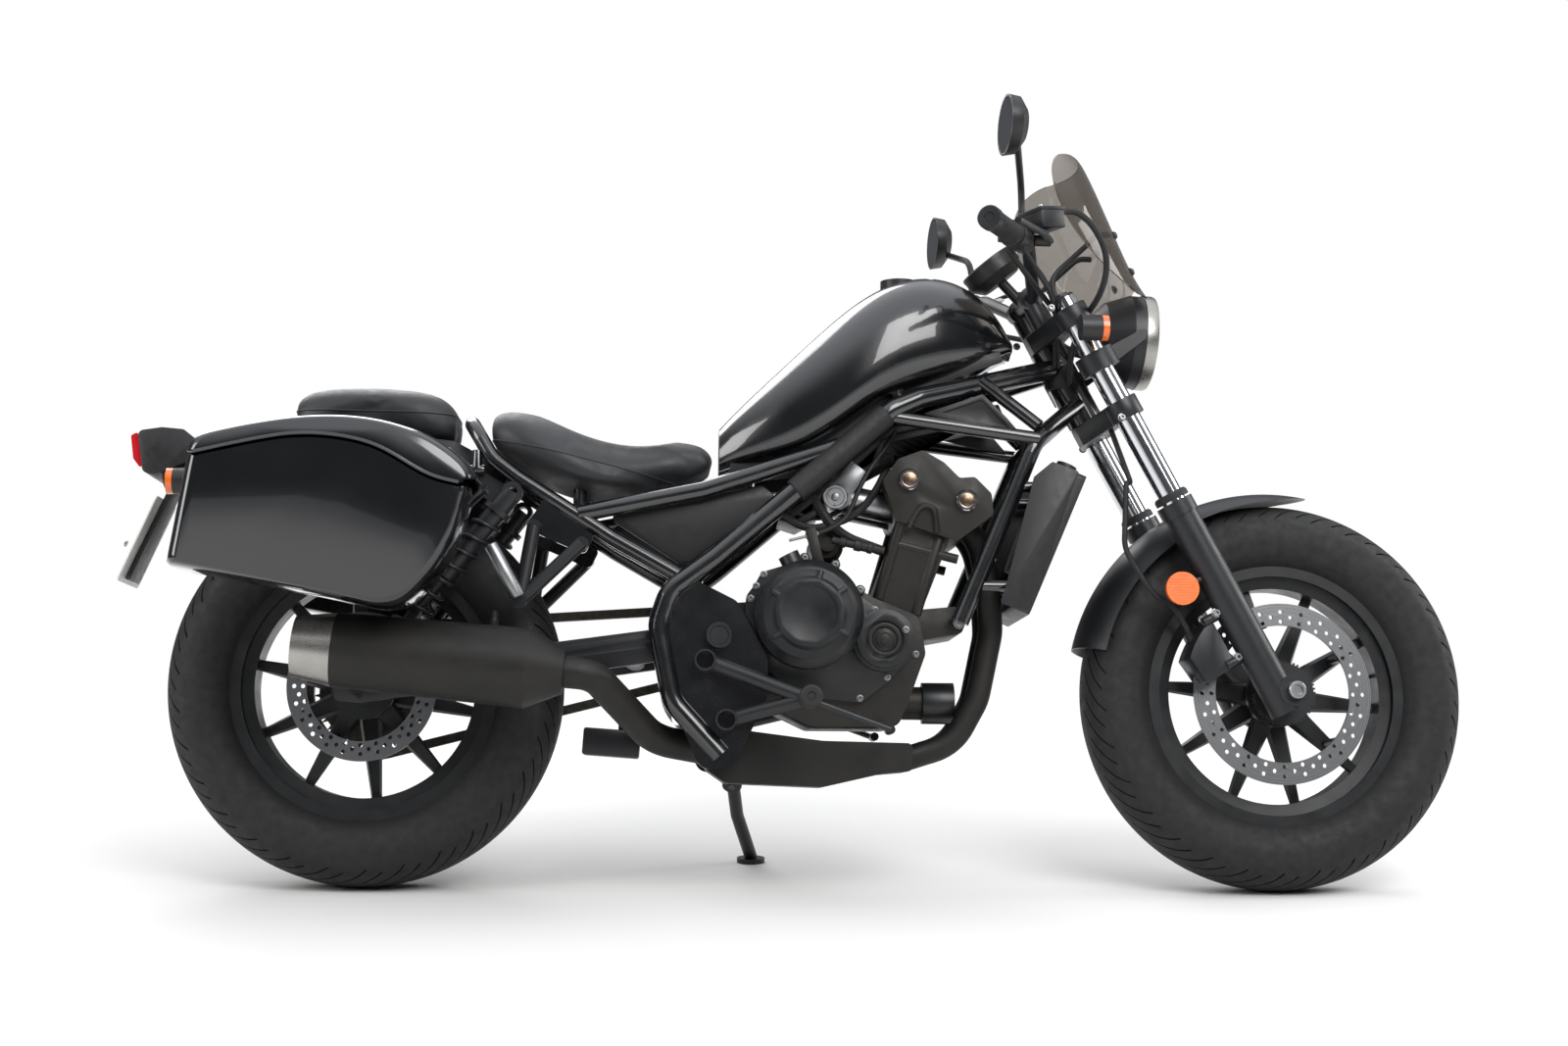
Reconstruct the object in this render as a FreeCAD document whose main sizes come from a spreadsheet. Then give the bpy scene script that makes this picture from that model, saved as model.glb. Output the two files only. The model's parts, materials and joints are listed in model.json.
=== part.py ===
# A cruiser motorcycle with open frame, twin-cylinder engine, hard side bags and a small windscreen.
# It leans on its side stand with the front wheel turned a little to the left.
# X points forward, Y to the rider's left, Z up. Lengths are millimetres, angles are degrees.
import FreeCAD, Part
import math
import os

import Sketcher
from FreeCAD import Placement, Rotation, Vector

doc = FreeCAD.newDocument("motorcycle")

# Driving sizes, kept in the spreadsheet under these names
sizeTable = {
    # Stance
    "wheelbase": 1488, "rakeAngle": 28, "trailLength": 110, "leanAngle": 9.42, "steerAngle": 3.94,
    "frameLength": 1000, "originForward": 704, "originLeft": 155,
    # Clearances shared by all pieces
    "seatGap": 0.3, "bearingGap": 0.05, "runningGap": 5, "cutOverrun": 5,
    # Tyres
    "rearTyreRadius": 321.5, "rearTyreWidth": 150,
    "frontTyreRadius": 319, "frontTyreWidth": 130,
    "tyreTread": 14, "tyreWall": 9, "tyreBeadWidth": 10,
    # Rims, spokes and hubs
    "rimRadius": 217, "rimBeadRadius": 203, "rimWellRadius": 184, "rimThickness": 6,
    "rearRimWidth": 100, "frontRimWidth": 84, "spokeCount": 10, "spokeRootWidth": 40,
    "spokeTipWidth": 17, "spokeRootDepth": 22, "spokeTipDepth": 15, "spokeOffset": 13,
    "hubRadius": 38, "rearHubWidth": 130, "frontHubWidth": 118, "hubFlangeRadius": 52, "hubFlangeDepth": 12,
    # Brake discs and sprocket
    "frontDiscRadius": 148, "frontDiscInner": 112, "rearDiscRadius": 120, "rearDiscInner": 88,
    "discThickness": 5, "discOffset": 72, "discHoleRadius": 3.6, "discHoleCount": 24, "discBossRadius": 6,
    "discSeatInset": 4,
    "sprocketRadius": 98, "sprocketTeeth": 40, "sprocketThickness": 7, "sprocketOffset": 88,
    "sprocketDrumRadius": 62, "frontSprocketRadius": 38, "chainWidth": 14, "chainHeight": 15,
    # Axles
    "axleRadius": 10, "frontAxleHead": 14, "axleHeadDepth": 9, "axleHexWidth": 12,
    # Fork
    "forkTubeRadius": 20.5, "forkLowerRadius": 28, "forkHalfWidth": 115, "forkAxleLead": 20,
    "forkLowerLength": 357, "forkLipRadius": 31, "forkLipLength": 24,
    "clampThickness": 32, "clampWall": 8,
    "stemRadius": 15, "headTubeRadius": 30, "headTubeLength": 140, "headTubeHeight": 838,
    # Frame
    "railRadius": 17, "subRailRadius": 14, "braceRadius": 11, "railBend": 60, "hoopRadius": 12.5,
    "plateThickness": 8, "pivotRadius": 22, "pivotHalfWidth": 136,
    # Swingarm
    "armHeight": 56, "armThickness": 20, "armHalfWidth": 107, "armPivotHeight": 404, "armPivotForward": 572,
    # Shocks
    "shockRodRadius": 9, "shockBodyRadius": 17.5, "springRadius": 24.5, "springWire": 6.4, "springTurns": 9,
    "shockHalfWidth": 132, "shockEyeRadius": 16,
    # Tank
    "tankLength": 484, "tankHeight": 330, "tankHalfWidth": 150, "tankCapRadius": 31, "tankCapHeight": 14,
    # Seats
    "seatLength": 362, "seatHeight": 100, "seatHalfWidth": 138, "pillionLength": 268, "pillionHeight": 66,
    "pillionHalfWidth": 88,
    # Rear fender
    "fenderThickness": 3, "rearFenderHalfWidth": 92, "rearFenderDepth": 60,
    # Tail
    "lampHalfWidth": 70, "indicatorLength": 58, "indicatorRadius": 21,
    "rearIndicatorSpread": 128, "plateWidth": 150, "plateHeight": 150, "plateSheet": 2,
    # Bags
    "bagLength": 470, "bagHeight": 290, "bagDepth": 168, "bagInner": 202, "bagWall": 4, 
    "bagRailRadius": 8, "lidGap": 6, "lidHingeLead": 3, "lidHingeDrop": 10, "lidArmReach": 18,
    "lidKnuckleLength": 40,
    "lidCheekWidth": 8, "lidKnuckleRadius": 5, "lidPinRadius": 2.5, "lidArmTurn": 45,
    # Engine
    "clutchRadius": 87, "clutchDepth": 62, "clutchRing": 44, "crankRadius": 50, "crankDepth": 34,
    "caseHalfWidth": 128, "cylinderLean": 21, "camCapRadius": 17, "camCapDepth": 12, "oilFilterRadius": 34,
    # Radiator
    "radiatorWidth": 270, "radiatorHeight": 250, "radiatorThickness": 32,
    # Exhaust
    "headerRadius": 20, "headerSpread": 42, "collectorDepth": 150, "silencerRadius": 58,
    "silencerHalfSpread": 220, "silencerCapLength": 62, "silencerOutlet": 24, 
    # Pegs
    "pegRadius": 18, "pegLength": 92, "pegTubeRadius": 12, "socketRadius": 17, "socketWall": 3,
    "socketDepth": 30, "leftSocketLead": 1.5, "pegSpread": 190, 
    # Handlebar
    "barRadius": 11, "gripRadius": 17.5, "gripLength": 124, "barHalfWidth": 396, "barEndRadius": 19,
    "switchRadius": 22, "switchLength": 46, "leverThickness": 9,
    # Mirrors
    "mirrorWidth": 128, "mirrorHeight": 92, "mirrorDepth": 30, "mirrorHalfSpread": 352, "mirrorStem": 5.5,
    "mirrorGlass": 3,
    # Headlamp
    "lampRadius": 78, "lampDepth": 104, "lampRing": 10, "lampLensDepth": 8, "lampWall": 3,
    # Meter
    "meterRadius": 50, "meterDepth": 40, "meterTilt": 52,
    # Windscreen
    "screenThickness": 3, "screenHalfWidth": 172,
    # Front fender
    "frontFenderRadius": 340, "frontFenderEdge": 300, "frontFenderHalfWidth": 77,
    # Caliper
    "caliperThickness": 46, "rearCaliperTurn": 38, "hoseRadius": 4.5, "reflectorRadius": 27,
    "reflectorDepth": 9, "reflectorAlong": 228, "reflectorBack": 62, "reflectorOut": 14, "hoseBend": 60,
    # Side stand
    "standRadius": 11, "standFootRadius": 24, "standFootThickness": 8, "standFootLeft": 245,
    "headGap": 1, "forkSocket": 60, "forkTopLength": 735, "axleBossRadius": 26, "axleBossWidth": 58,
    "barBend": 45, "leverReach": 46, "mirrorBack": 104, "mirrorRise": 149, "lampLift": 73, "lampAhead": 126,
    "screenHeight": 238, "screenLift": 50, "screenAhead": 156, "screenLead": 116, "screenWrap": 112,
    "fenderFrontAngle": 13, "fenderSweep": 90, "caliperAlong": 124, "caliperBack": 70, "caliperHeight": 112,
    "caliperWidth": 62, "discGap": 1.5, "pivotBolt": 9, "shockEyeWidth": 28, "capLift": -3,
    "coverHalfWidth": 98, "coverThickness": 12, "chainGap": 1, "tailPipeLead": 46,
    "screenLampGap": 12, "screenStayRise": 60, "screenStayRadius": 5, "bagCorner": 26,
    "oilFilterLength": 52, "standPivotLeft": 110, "standFootForward": 635, "standFoldTurn": 7,
    "standHubHalf": 14,
    "standBolt": 6,
}

sheet = doc.addObject("Spreadsheet::Sheet", "Sizes")
for row, (alias, number) in enumerate(sizeTable.items(), 1):
    sheet.set(f"A{row}", alias)
    sheet.set(f"B{row}", str(number))
    sheet.setAlias(f"B{row}", alias)
doc.recompute()


class Size:
    """A number from the sheet together with the expression that a property is bound to."""

    def __init__(self, number, text):
        self.number = float(number)
        self.text = text

    def __float__(self):
        return self.number

    def __neg__(self):
        return Size(-self.number, f"-({self.text})")

    def __add__(self, other):
        other = sized(other)
        return Size(self.number + other.number, f"({self.text} + {other.text})")

    def __sub__(self, other):
        other = sized(other)
        return Size(self.number - other.number, f"({self.text} - {other.text})")

    def __mul__(self, other):
        other = sized(other)
        return Size(self.number * other.number, f"({self.text}) * ({other.text})")

    def __truediv__(self, other):
        other = sized(other)
        return Size(self.number / other.number, f"({self.text}) / ({other.text})")

    __radd__ = __add__
    __rmul__ = __mul__


def sized(value):
    return value if isinstance(value, Size) else Size(value, repr(float(value)))


def size(alias):
    return Size(sheet.get(alias), f"Sizes.{alias}")


def mm(alias):
    return float(sheet.get(alias))


# Stance: both tyres just touch the floor while the machine leans
lean = math.radians(mm("leanAngle"))
rake = math.radians(mm("rakeAngle"))
steer = math.radians(mm("steerAngle"))
steerAxis = Vector(-math.sin(rake), 0, math.cos(rake))
steerGround = Vector(mm("wheelbase") + mm("trailLength"), 0, 0)


# Tread profile from the crown to the shoulder: shares of the half width and of the side's height
treadShares = [(0.0, 0.0), (0.22, 0.014), (0.42, 0.055), (0.62, 0.14), (0.8, 0.27), (0.93, 0.45),
               (1.0, 0.68)]


def tyreReach(radius, width, tilt):
    """How far a tilted tyre reaches below its axle."""
    side = radius - mm("rimRadius")
    return max((radius - side * drop) * math.cos(tilt) + width / 2 * out * math.sin(tilt)
               for out, drop in treadShares)


rearAxle = Vector(0, 0, tyreReach(mm("rearTyreRadius"), mm("rearTyreWidth"), lean) / math.cos(lean))
leanTurn = Placement(Vector(-mm("originForward"), -mm("originLeft"), 0),
                     Rotation(Vector(1, 0, 0), -mm("leanAngle")))
steerTurn = Placement(Vector(), Rotation(steerAxis, mm("steerAngle")), steerGround)
steered = leanTurn.multiply(steerTurn)


def frontAxlePlace():
    """Centre of the front wheel with the steering straight, set so that the turned wheel meets the floor."""
    place = Vector(mm("wheelbase"), 0, mm("frontTyreRadius"))
    spin = steered.Rotation.multVec(Vector(0, 1, 0))
    reach = tyreReach(mm("frontTyreRadius"), mm("frontTyreWidth"), math.asin(abs(spin.z)))
    return place - Vector(0, 0, (steered.multVec(place).z - reach) / math.cos(lean))


frontAxle = frontAxlePlace()


def spot(forward, left, up):
    """A place on the frame, in shares of the frame's length."""
    return Vector(forward, left, up) * mm("frameLength")


def mirrored(point):
    return Vector(point.x, -point.y, point.z)


# Helpers for solids

def bentWire(points, bend):
    """Straight runs joined by tangent arcs."""
    edges = []
    start = points[0]
    for before, corner, after in zip(points, points[1:], points[2:]):
        back = (before - corner).normalize()
        ahead = (after - corner).normalize()
        half = back.getAngle(ahead) / 2
        room = min((before - corner).Length, (after - corner).Length) * 0.48
        cut = min(bend / math.tan(half), room)
        radius = cut * math.tan(half)
        toCentre = (back + ahead).normalize()
        centre = corner + toCentre * math.hypot(cut, radius)
        arcStart = corner + back * cut
        arcEnd = corner + ahead * cut
        edges.append(Part.LineSegment(start, arcStart).toShape())
        edges.append(Part.Arc(arcStart, centre - toCentre * radius, arcEnd).toShape())
        start = arcEnd
    edges.append(Part.LineSegment(start, points[-1]).toShape())
    return Part.Wire(edges)


def rod(points, radius, bend):
    """A round bar along bent runs."""
    path = bentWire(points, bend)
    start = points[0]
    section = Part.Wire(Part.makeCircle(radius, start, points[1] - start))
    return path.makePipeShell([section], True, False)


def bar(start, end, radius):
    return Part.makeCylinder(radius, (end - start).Length, start, end - start)


def pipe(start, end, radius, bore):
    return bar(start, end, radius).cut(bar(start, end, bore))


def postTo(start, end, radius, target):
    """A round post that ends at its seat on the target."""
    near = target.copy()
    near.translate((start - end).normalize() * mm("seatGap"))
    post = bar(start, end, radius).cut(near).cut(target)
    parts = sorted(post.Solids, key=lambda solid: solid.distToShape(Part.Vertex(start))[0])
    return parts[0]


def fuse(shapes):
    whole = shapes[0].fuse(shapes[1:]) if len(shapes) > 1 else shapes[0]
    return whole.removeSplitter()


def together(shapes):
    return Part.makeCompound(shapes)


def roundedWire(points, radius):
    """A closed flat outline whose corners are rounded."""
    edges = []
    count = len(points)
    spans = []
    for index, corner in enumerate(points):
        before = points[index - 1]
        after = points[(index + 1) % count]
        back = (before - corner).normalize()
        ahead = (after - corner).normalize()
        half = back.getAngle(ahead) / 2
        room = min((before - corner).Length, (after - corner).Length) * 0.45
        cut = min(radius / math.tan(half), room)
        toCentre = (back + ahead).normalize()
        deep = math.hypot(cut, cut * math.tan(half)) - cut * math.tan(half)
        spans.append((corner + back * cut, corner + toCentre * deep, corner + ahead * cut))
    for index, (arcStart, middle, arcEnd) in enumerate(spans):
        edges.append(Part.Arc(arcStart, middle, arcEnd).toShape())
        edges.append(Part.LineSegment(arcEnd, spans[(index + 1) % count][0]).toShape())
    return Part.Wire(edges)


def sidePlate(points, radius, left, thickness):
    """A plate seen from the side, from one Y to the next."""
    flat = [Vector(point.x, left, point.z) for point in points]
    return Part.Face(roundedWire(flat, radius)).extrude(Vector(0, thickness, 0))


def smoothRing(points):
    curve = Part.BSplineCurve()
    curve.interpolate(Points=points, PeriodicFlag=True)
    return Part.Wire(curve.toShape())


# Helpers for document objects

subparts = []
upright = {}


def keep(item, label, place):
    item.Label = label
    item.Placement = place
    subparts.append(item)
    return item


def feature(label, shape, place=None):
    """A piece whose solid is worked out directly from the sizes."""
    upright[label] = shape.copy()
    item = doc.addObject("Part::Feature", label)
    item.Shape = shape
    return keep(item, label, place or leanTurn)


def newBody(label):
    return doc.addObject("PartDesign::Body", label)


def originPlane(body, role):
    return [item for item in body.Origin.OriginFeatures if item.Role == role][0]


def newSketch(body, name, role, offset=None):
    sketch = body.newObject("Sketcher::SketchObject", body.Name + name)
    sketch.AttachmentSupport = [(originPlane(body, role), "")]
    sketch.MapMode = "FlatFace"
    if offset is not None:
        sketch.setExpression("AttachmentOffset.Base.z", sized(offset).text)
    return sketch


def pin(sketch, kind, line, end, value):
    number = sketch.addConstraint(Sketcher.Constraint(kind, -1, 1, line, end, float(value)))
    sketch.setExpression(f"Constraints[{number}]", sized(value).text)


def polygon(sketch, points):
    """A closed outline whose corners are each held by named sizes."""
    count = len(points)
    first = sketch.GeometryCount
    for index in range(count):
        here = Vector(*map(float, points[index]))
        after = Vector(*map(float, points[(index + 1) % count]))
        sketch.addGeometry(Part.LineSegment(here, after))
    for index in range(count):
        after = first + (index + 1) % count
        sketch.addConstraint(Sketcher.Constraint("Coincident", first + index, 2, after, 1))
        pin(sketch, "DistanceX", first + index, 1, points[index][0])
        pin(sketch, "DistanceY", first + index, 1, points[index][1])


def circle(sketch, radius, across=0, up=0):
    line = sketch.addGeometry(Part.Circle(Vector(float(across), float(up)), Vector(0, 0, 1), float(radius)))
    number = sketch.addConstraint(Sketcher.Constraint("Radius", line, float(radius)))
    sketch.setExpression(f"Constraints[{number}]", sized(radius).text)
    pin(sketch, "DistanceX", line, 3, across)
    pin(sketch, "DistanceY", line, 3, up)


def revolve(body, name, points, kind="Revolution"):
    """Turns a profile of (radius, place along Y) about the body's Y axis."""
    sketch = newSketch(body, name + "Profile", "XY_Plane")
    polygon(sketch, points)
    turned = body.newObject("PartDesign::" + kind, body.Name + name)
    turned.Profile = sketch
    turned.ReferenceAxis = (sketch, ["V_Axis"])
    turned.Angle = 360
    return turned, sketch


def pad(body, name, sketch, length, kind="Pad", both=True):
    item = body.newObject("PartDesign::" + kind, body.Name + name)
    item.Profile = sketch
    item.setExpression("Length", sized(length).text)
    item.Midplane = both
    return item


def polar(body, name, originals, sketch, count, axis="V_Axis"):
    item = body.newObject("PartDesign::PolarPattern", body.Name + name)
    item.Originals = originals
    item.Axis = (sketch, [axis])
    item.Angle = 360
    item.setExpression("Occurrences", sized(count).text)
    body.Tip = item
    return item


# Wheels

def tyre(label, radius, width, rimWidth, place):
    """A hollow tyre whose beads sit on the rim."""
    body = newBody(label)
    half = width / 2
    gap = size("seatGap")
    bead = size("rimBeadRadius") + gap
    flange = size("rimRadius") + gap
    beadSide = rimWidth / 2 - size("rimThickness") - gap
    beadIn = beadSide - size("tyreBeadWidth")
    height = radius - size("rimRadius")
    outer = [(radius - height * drop, half * out) for out, drop in treadShares]
    shoulder = half - size("tyreWall")
    inner = [(radius - size("tyreTread") - height * drop * 0.9, shoulder * out) for out,
             drop in treadShares[::2]]
    side = [(flange + size("tyreWall"), (half + rimWidth / 2) / 2), (flange, rimWidth / 2),
            (flange, beadSide),
            (bead, beadSide), (bead, beadIn), (flange + size("tyreWall"), beadIn)]
    above = outer[1:] + side + inner[:0:-1]
    below = [(far, -along) for far, along in above]
    points = [outer[0]] + above + [inner[0]] + below[::-1]
    revolve(body, "Carcass", points)
    return keep(body, label, place)


def rimPoints(rimWidth):
    half = rimWidth / 2
    flange = size("rimRadius")
    bead = size("rimBeadRadius")
    well = size("rimWellRadius")
    thick = size("rimThickness")
    floor = half * 0.5
    above = [(well, floor), (bead, half - thick - size("tyreBeadWidth") * 1.6), (bead, half - thick),
             (flange, half - thick), (flange, half), (bead - thick, half),
             (bead - thick, floor + thick * 1.5), (well - thick, floor + thick)]
    return above + [(far, -along) for far, along in above[::-1]]


def castWheel(label, rimWidth, hubWidth, bossReach, place, turn):
    """A cast wheel: rim, hub and tapered spokes that lean to either side in turn."""
    body = newBody(label)
    rim, rimSketch = revolve(body, "Rim", rimPoints(rimWidth))
    half = hubWidth / 2
    bore = size("axleRadius") + size("bearingGap")
    hub = size("hubRadius")
    flange = size("hubFlangeRadius")
    deep = size("hubFlangeDepth")
    revolve(body, "Hub", [(bore, -half), (hub * 0.8, -half), (hub * 0.8, -half + deep),
                          (flange, -half + deep),
                          (flange, -half + deep * 2), (hub, half * -0.5), (hub, half * 0.5),
                          (flange, half - deep * 2), (flange, half - deep), (hub * 0.8, half - deep),
                          (hub * 0.8, half), (bore, half)])
    for side, name in ((1, "Left"), (-1, "Right")):
        offset = size("spokeOffset") * side
        root = newSketch(body, name + "Root", "YZ_Plane", hub * 0.8 * side)
        wide = size("spokeRootWidth") / 2
        deepHalf = size("spokeRootDepth") / 2
        polygon(root, [(offset - deepHalf, wide * -0.7), (offset, -wide), (offset + deepHalf, wide * -0.7),
                       (offset + deepHalf, wide * 0.7), (offset, wide), (offset - deepHalf, wide * 0.7)])
        tip = newSketch(body, name + "Tip", "YZ_Plane",
                        (size("rimWellRadius") - size("rimThickness") / 2) * side)
        wideTip = size("spokeTipWidth") / 2
        tipHalf = size("spokeTipDepth") / 2
        shift = offset * 0.5
        polygon(tip, [(shift - tipHalf, wideTip * -0.7), (shift, -wideTip),
                      (shift + tipHalf, wideTip * -0.7),
                      (shift + tipHalf, wideTip * 0.7), (shift, wideTip), (shift - tipHalf, wideTip * 0.7)])
        spoke = body.newObject("PartDesign::AdditiveLoft", body.Name + name + "Spoke")
        spoke.Profile = root
        spoke.Sections = [tip]
        spoke.Ruled = True
        polar(body, name + "Spokes", [spoke], rimSketch, size("spokeCount") / 2)
    boss = newSketch(body, "BossRound", "XZ_Plane")
    circle(boss, size("discBossRadius"), -bossReach)
    seat = pad(body, "Boss", boss, size("discOffset") - size("discThickness") / 2 - size("seatGap"),
               "Pad", False)
    polar(body, "Bosses", [seat], rimSketch, size("spokeCount") / 2)
    return keep(body, label, place.multiply(Placement(Vector(), Rotation(Vector(0, 1, 0), turn))))


def sprocketDrum(body, half):
    """The drum on the left of the rear hub that carries the sprocket."""
    reach = size("sprocketOffset") - size("sprocketThickness") / 2 - size("seatGap")
    bore = size("axleRadius") + size("bearingGap")
    wide = size("sprocketDrumRadius")
    drum, _ = revolve(body, "Drum", [(bore, half * 0.6), (wide, half * 0.6), (wide, reach), (bore, reach)])
    body.Tip = drum


def disc(label, radius, inner, place):
    """A drilled brake disc with rows of holes."""
    body = newBody(label)
    sketch = newSketch(body, "Ring", "XZ_Plane", size("discOffset"))
    circle(sketch, radius)
    circle(sketch, inner)
    pad(body, "Disc", sketch, size("discThickness"))
    band = radius - inner
    doc.recompute()
    for row, share in enumerate(discRowShare):
        turn = math.radians(180 / mm("discHoleCount") * row)
        reach = inner + band * share
        holes = newSketch(body, f"Holes{row}", "XZ_Plane", size("discOffset"))
        circle(holes, size("discHoleRadius"), reach * math.cos(turn), reach * math.sin(turn))
        drilled = pad(body, f"Drilled{row}", holes, size("discThickness") + size("cutOverrun"), "Pocket")
        polar(body, f"Row{row}", [drilled], holes, size("discHoleCount"), "N_Axis")
    return keep(body, label, place)


discRowShare = (0.18, 0.4, 0.62)


def sprocketBlank(label, place):
    """The rear sprocket: teeth on a plate with a bolt ring."""
    teeth = int(mm("sprocketTeeth"))
    outer = mm("sprocketRadius")
    depth = mm("chainHeight") * 0.5
    points = []
    for tooth in range(teeth):
        for share, reach in ((0, outer - depth), (0.3, outer - depth), (0.45, outer), (0.55, outer),
                             (0.7, outer - depth)):
            turn = 2 * math.pi * (tooth + share) / teeth
            points.append(Vector(reach * math.cos(turn), 0, reach * math.sin(turn)))
    plate = Part.Face(Part.makePolygon(points + points[:1]))
    wide = mm("sprocketThickness")
    near = mm("sprocketOffset") - wide / 2
    plate.translate(Vector(0, near, 0))
    solid = plate.extrude(Vector(0, wide, 0))
    bore = Part.makeCylinder(mm("hubRadius") + mm("seatGap"), wide, Vector(0, near, 0), Vector(0, 1, 0))
    return feature(label, solid.cut(bore), place)


rearPlace = leanTurn.multiply(Placement(rearAxle, Rotation()))
frontPlace = steered.multiply(Placement(frontAxle, Rotation()))
tyre("rear_tyre", size("rearTyreRadius"), size("rearTyreWidth"), size("rearRimWidth"), rearPlace)
tyre("front_tyre", size("frontTyreRadius"), size("frontTyreWidth"), size("frontRimWidth"), frontPlace)
rearSeat = size("rearDiscInner") + size("discSeatInset")
frontSeat = size("frontDiscInner") + size("discSeatInset")
rearBody = castWheel("rear_wheel", size("rearRimWidth"), size("rearHubWidth"), rearSeat, rearPlace, 12)
sprocketDrum(rearBody, size("rearHubWidth") / 2)
castWheel("front_wheel", size("frontRimWidth"), size("frontHubWidth"), frontSeat, frontPlace, 5)
disc("rear_disc", size("rearDiscRadius"), size("rearDiscInner"), rearPlace)
disc("front_disc", size("frontDiscRadius"), size("frontDiscInner"), frontPlace)
sprocketBlank("rear_sprocket", rearPlace)


# Axles

def axleBar(centre, halfWidth, headSide):
    """A through axle with a hollow hexagon head on one end and a nut on the other."""
    radius = mm("axleRadius")
    head = mm("frontAxleHead")
    deep = mm("axleHeadDepth")
    right = centre - Vector(0, halfWidth, 0)
    left = centre + Vector(0, halfWidth, 0)
    across = Vector(0, 1, 0)
    shapes = [bar(right, left, radius), Part.makeCylinder(head, deep, right, -across),
              Part.makeCylinder(head, deep, left, across)]
    end = (right if headSide < 0 else left) + across * (deep * headSide)
    socket = Part.makeCylinder(mm("axleHexWidth") / 2, deep, end, across * -headSide)
    return fuse(shapes).cut(socket)


# Fork, turned about the steering axis

ahead = Vector(math.cos(rake), 0, math.sin(rake))
axleAlong = (frontAxle - steerGround).dot(steerAxis)
axleAhead = (frontAxle - steerGround).dot(ahead)
forkAhead = axleAhead - mm("forkAxleLead")
across = Vector(0, 1, 0)


def legPoint(along, side=0, forward=0):
    """A place on a fork leg's axis, measured up from the axle."""
    base = steerGround + steerAxis * (axleAlong + along) + ahead * (forkAhead + forward)
    return base + across * (side * mm("forkHalfWidth"))


headCentreAlong = mm("headTubeHeight") / math.cos(rake) - axleAlong
lowerClampAlong = headCentreAlong - mm("headTubeLength") / 2 - mm("headGap") - mm("clampThickness")
upperClampAlong = headCentreAlong + mm("headTubeLength") / 2 + mm("headGap")
lampAlong = lowerClampAlong + mm("clampThickness") + mm("lampLift")
screenAlong = lampAlong + mm("screenLift")


def forkTubes():
    radius = mm("forkTubeRadius")
    foot = mm("forkLowerLength") - mm("forkSocket")
    shapes = [bar(legPoint(foot, side), legPoint(mm("forkTopLength"), side), radius) for side in (-1, 1)]
    return feature("fork_tubes", together(shapes), steered)


def forkLower(side):
    """A fork lower with its axle boss, a lip for the dust seal and the socket for the tube."""
    top = mm("forkLowerLength")
    radius = mm("forkLowerRadius")
    foot = -mm("axleBossRadius")
    leg = bar(legPoint(foot, side), legPoint(top, side), radius)
    lip = bar(legPoint(top - mm("forkLipLength"), side), legPoint(top, side), mm("forkLipRadius"))
    bossHalf = mm("axleBossWidth") / 2
    middle = frontAxle + across * (side * mm("forkHalfWidth"))
    boss = bar(middle - across * bossHalf, middle + across * bossHalf, mm("axleBossRadius"))
    shape = fuse([leg, lip, boss])
    socketRadius = mm("forkTubeRadius") + mm("seatGap")
    shape = shape.cut(bar(legPoint(top - mm("forkSocket"), side), legPoint(top + mm("cutOverrun"), side),
                          socketRadius))
    bore = mm("axleRadius") + mm("seatGap")
    over = across * (bossHalf + mm("cutOverrun"))
    return shape.cut(bar(middle - over, middle + over, bore))


def clampPlate(along):
    """A clamp across both fork tubes and the steering stem."""
    thick = mm("clampThickness")
    half = mm("forkHalfWidth")
    ring = mm("forkTubeRadius") + mm("clampWall")
    up = steerAxis * thick
    shapes = []
    outline = []
    for forward, left in ((ring * 0.5, half), (ring * 0.5, -half), (-ring, -half),
                          (-forkAhead - ring * 0.9, -half * 0.12),
                          (-forkAhead - ring * 0.9, half * 0.12), (-ring, half)):
        outline.append(legPoint(along) + ahead * forward + across * left)
    shapes.append(Part.Face(roundedWire(outline, mm("clampWall"))).extrude(up))
    shapes += [bar(legPoint(along, side), legPoint(along, side) + up, ring) for side in (-1, 1)]
    plate = fuse(shapes)
    hole = mm("forkTubeRadius") + mm("seatGap")
    over = steerAxis * mm("cutOverrun")
    for side in (-1, 1):
        plate = plate.cut(bar(legPoint(along, side) - over, legPoint(along, side) + up + over, hole))
    return plate


def forkClamps():
    """Both clamps on the steering stem, which turns in the frame's head tube."""
    stem = bar(legPoint(lowerClampAlong) - ahead * forkAhead,
               legPoint(upperClampAlong + mm("clampThickness")) - ahead * forkAhead, mm("stemRadius"))
    return feature("fork_clamps", fuse([clampPlate(lowerClampAlong), clampPlate(upperClampAlong), stem]),
                   steered)


# Handlebar, also turned

def barPoint(forward, left, up):
    """A place on the steered group in shares of the handlebar's half width, from the top of the stem."""
    top = legPoint(upperClampAlong + mm("clampThickness")) - ahead * forkAhead
    return top + Vector(forward, left, up) * mm("barHalfWidth")


barRunShare = [(-0.053, 0, 0.11), (-0.053, 0.19, 0.115), (-0.134, 0.49, 0.25)]
gripEndShare = (-0.384, 1.0, 0.21)


def barRun(side):
    return [barPoint(forward, left * side, up) for forward, left, up in barRunShare + [gripEndShare]]


def gripLine(side):
    """Inner end and direction of a grip, which covers the last run of the bar."""
    run = barRun(side)
    out = (run[-1] - run[-2]).normalize()
    return run[-1] - out * mm("gripLength"), out


def handlebar():
    left = barRun(1)
    right = barRun(-1)
    tube = rod(right[::-1] + left[1:], mm("barRadius"), mm("barBend"))
    shapes = [tube]
    for side in (-1, 1):
        foot = barPoint(0, side * 0.12, 0) + steerAxis * mm("seatGap")
        top = barPoint(-0.053, side * 0.12, 0.112)
        shapes.append(bar(foot, foot + steerAxis * (top - foot).Length, mm("barRadius") * 1.4))
        shapes.append(bar(top - across * mm("barRadius"), top + across * mm("barRadius"),
                          mm("barRadius") * 1.8))
    return feature("handlebar", fuse(shapes), steered)


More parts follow.
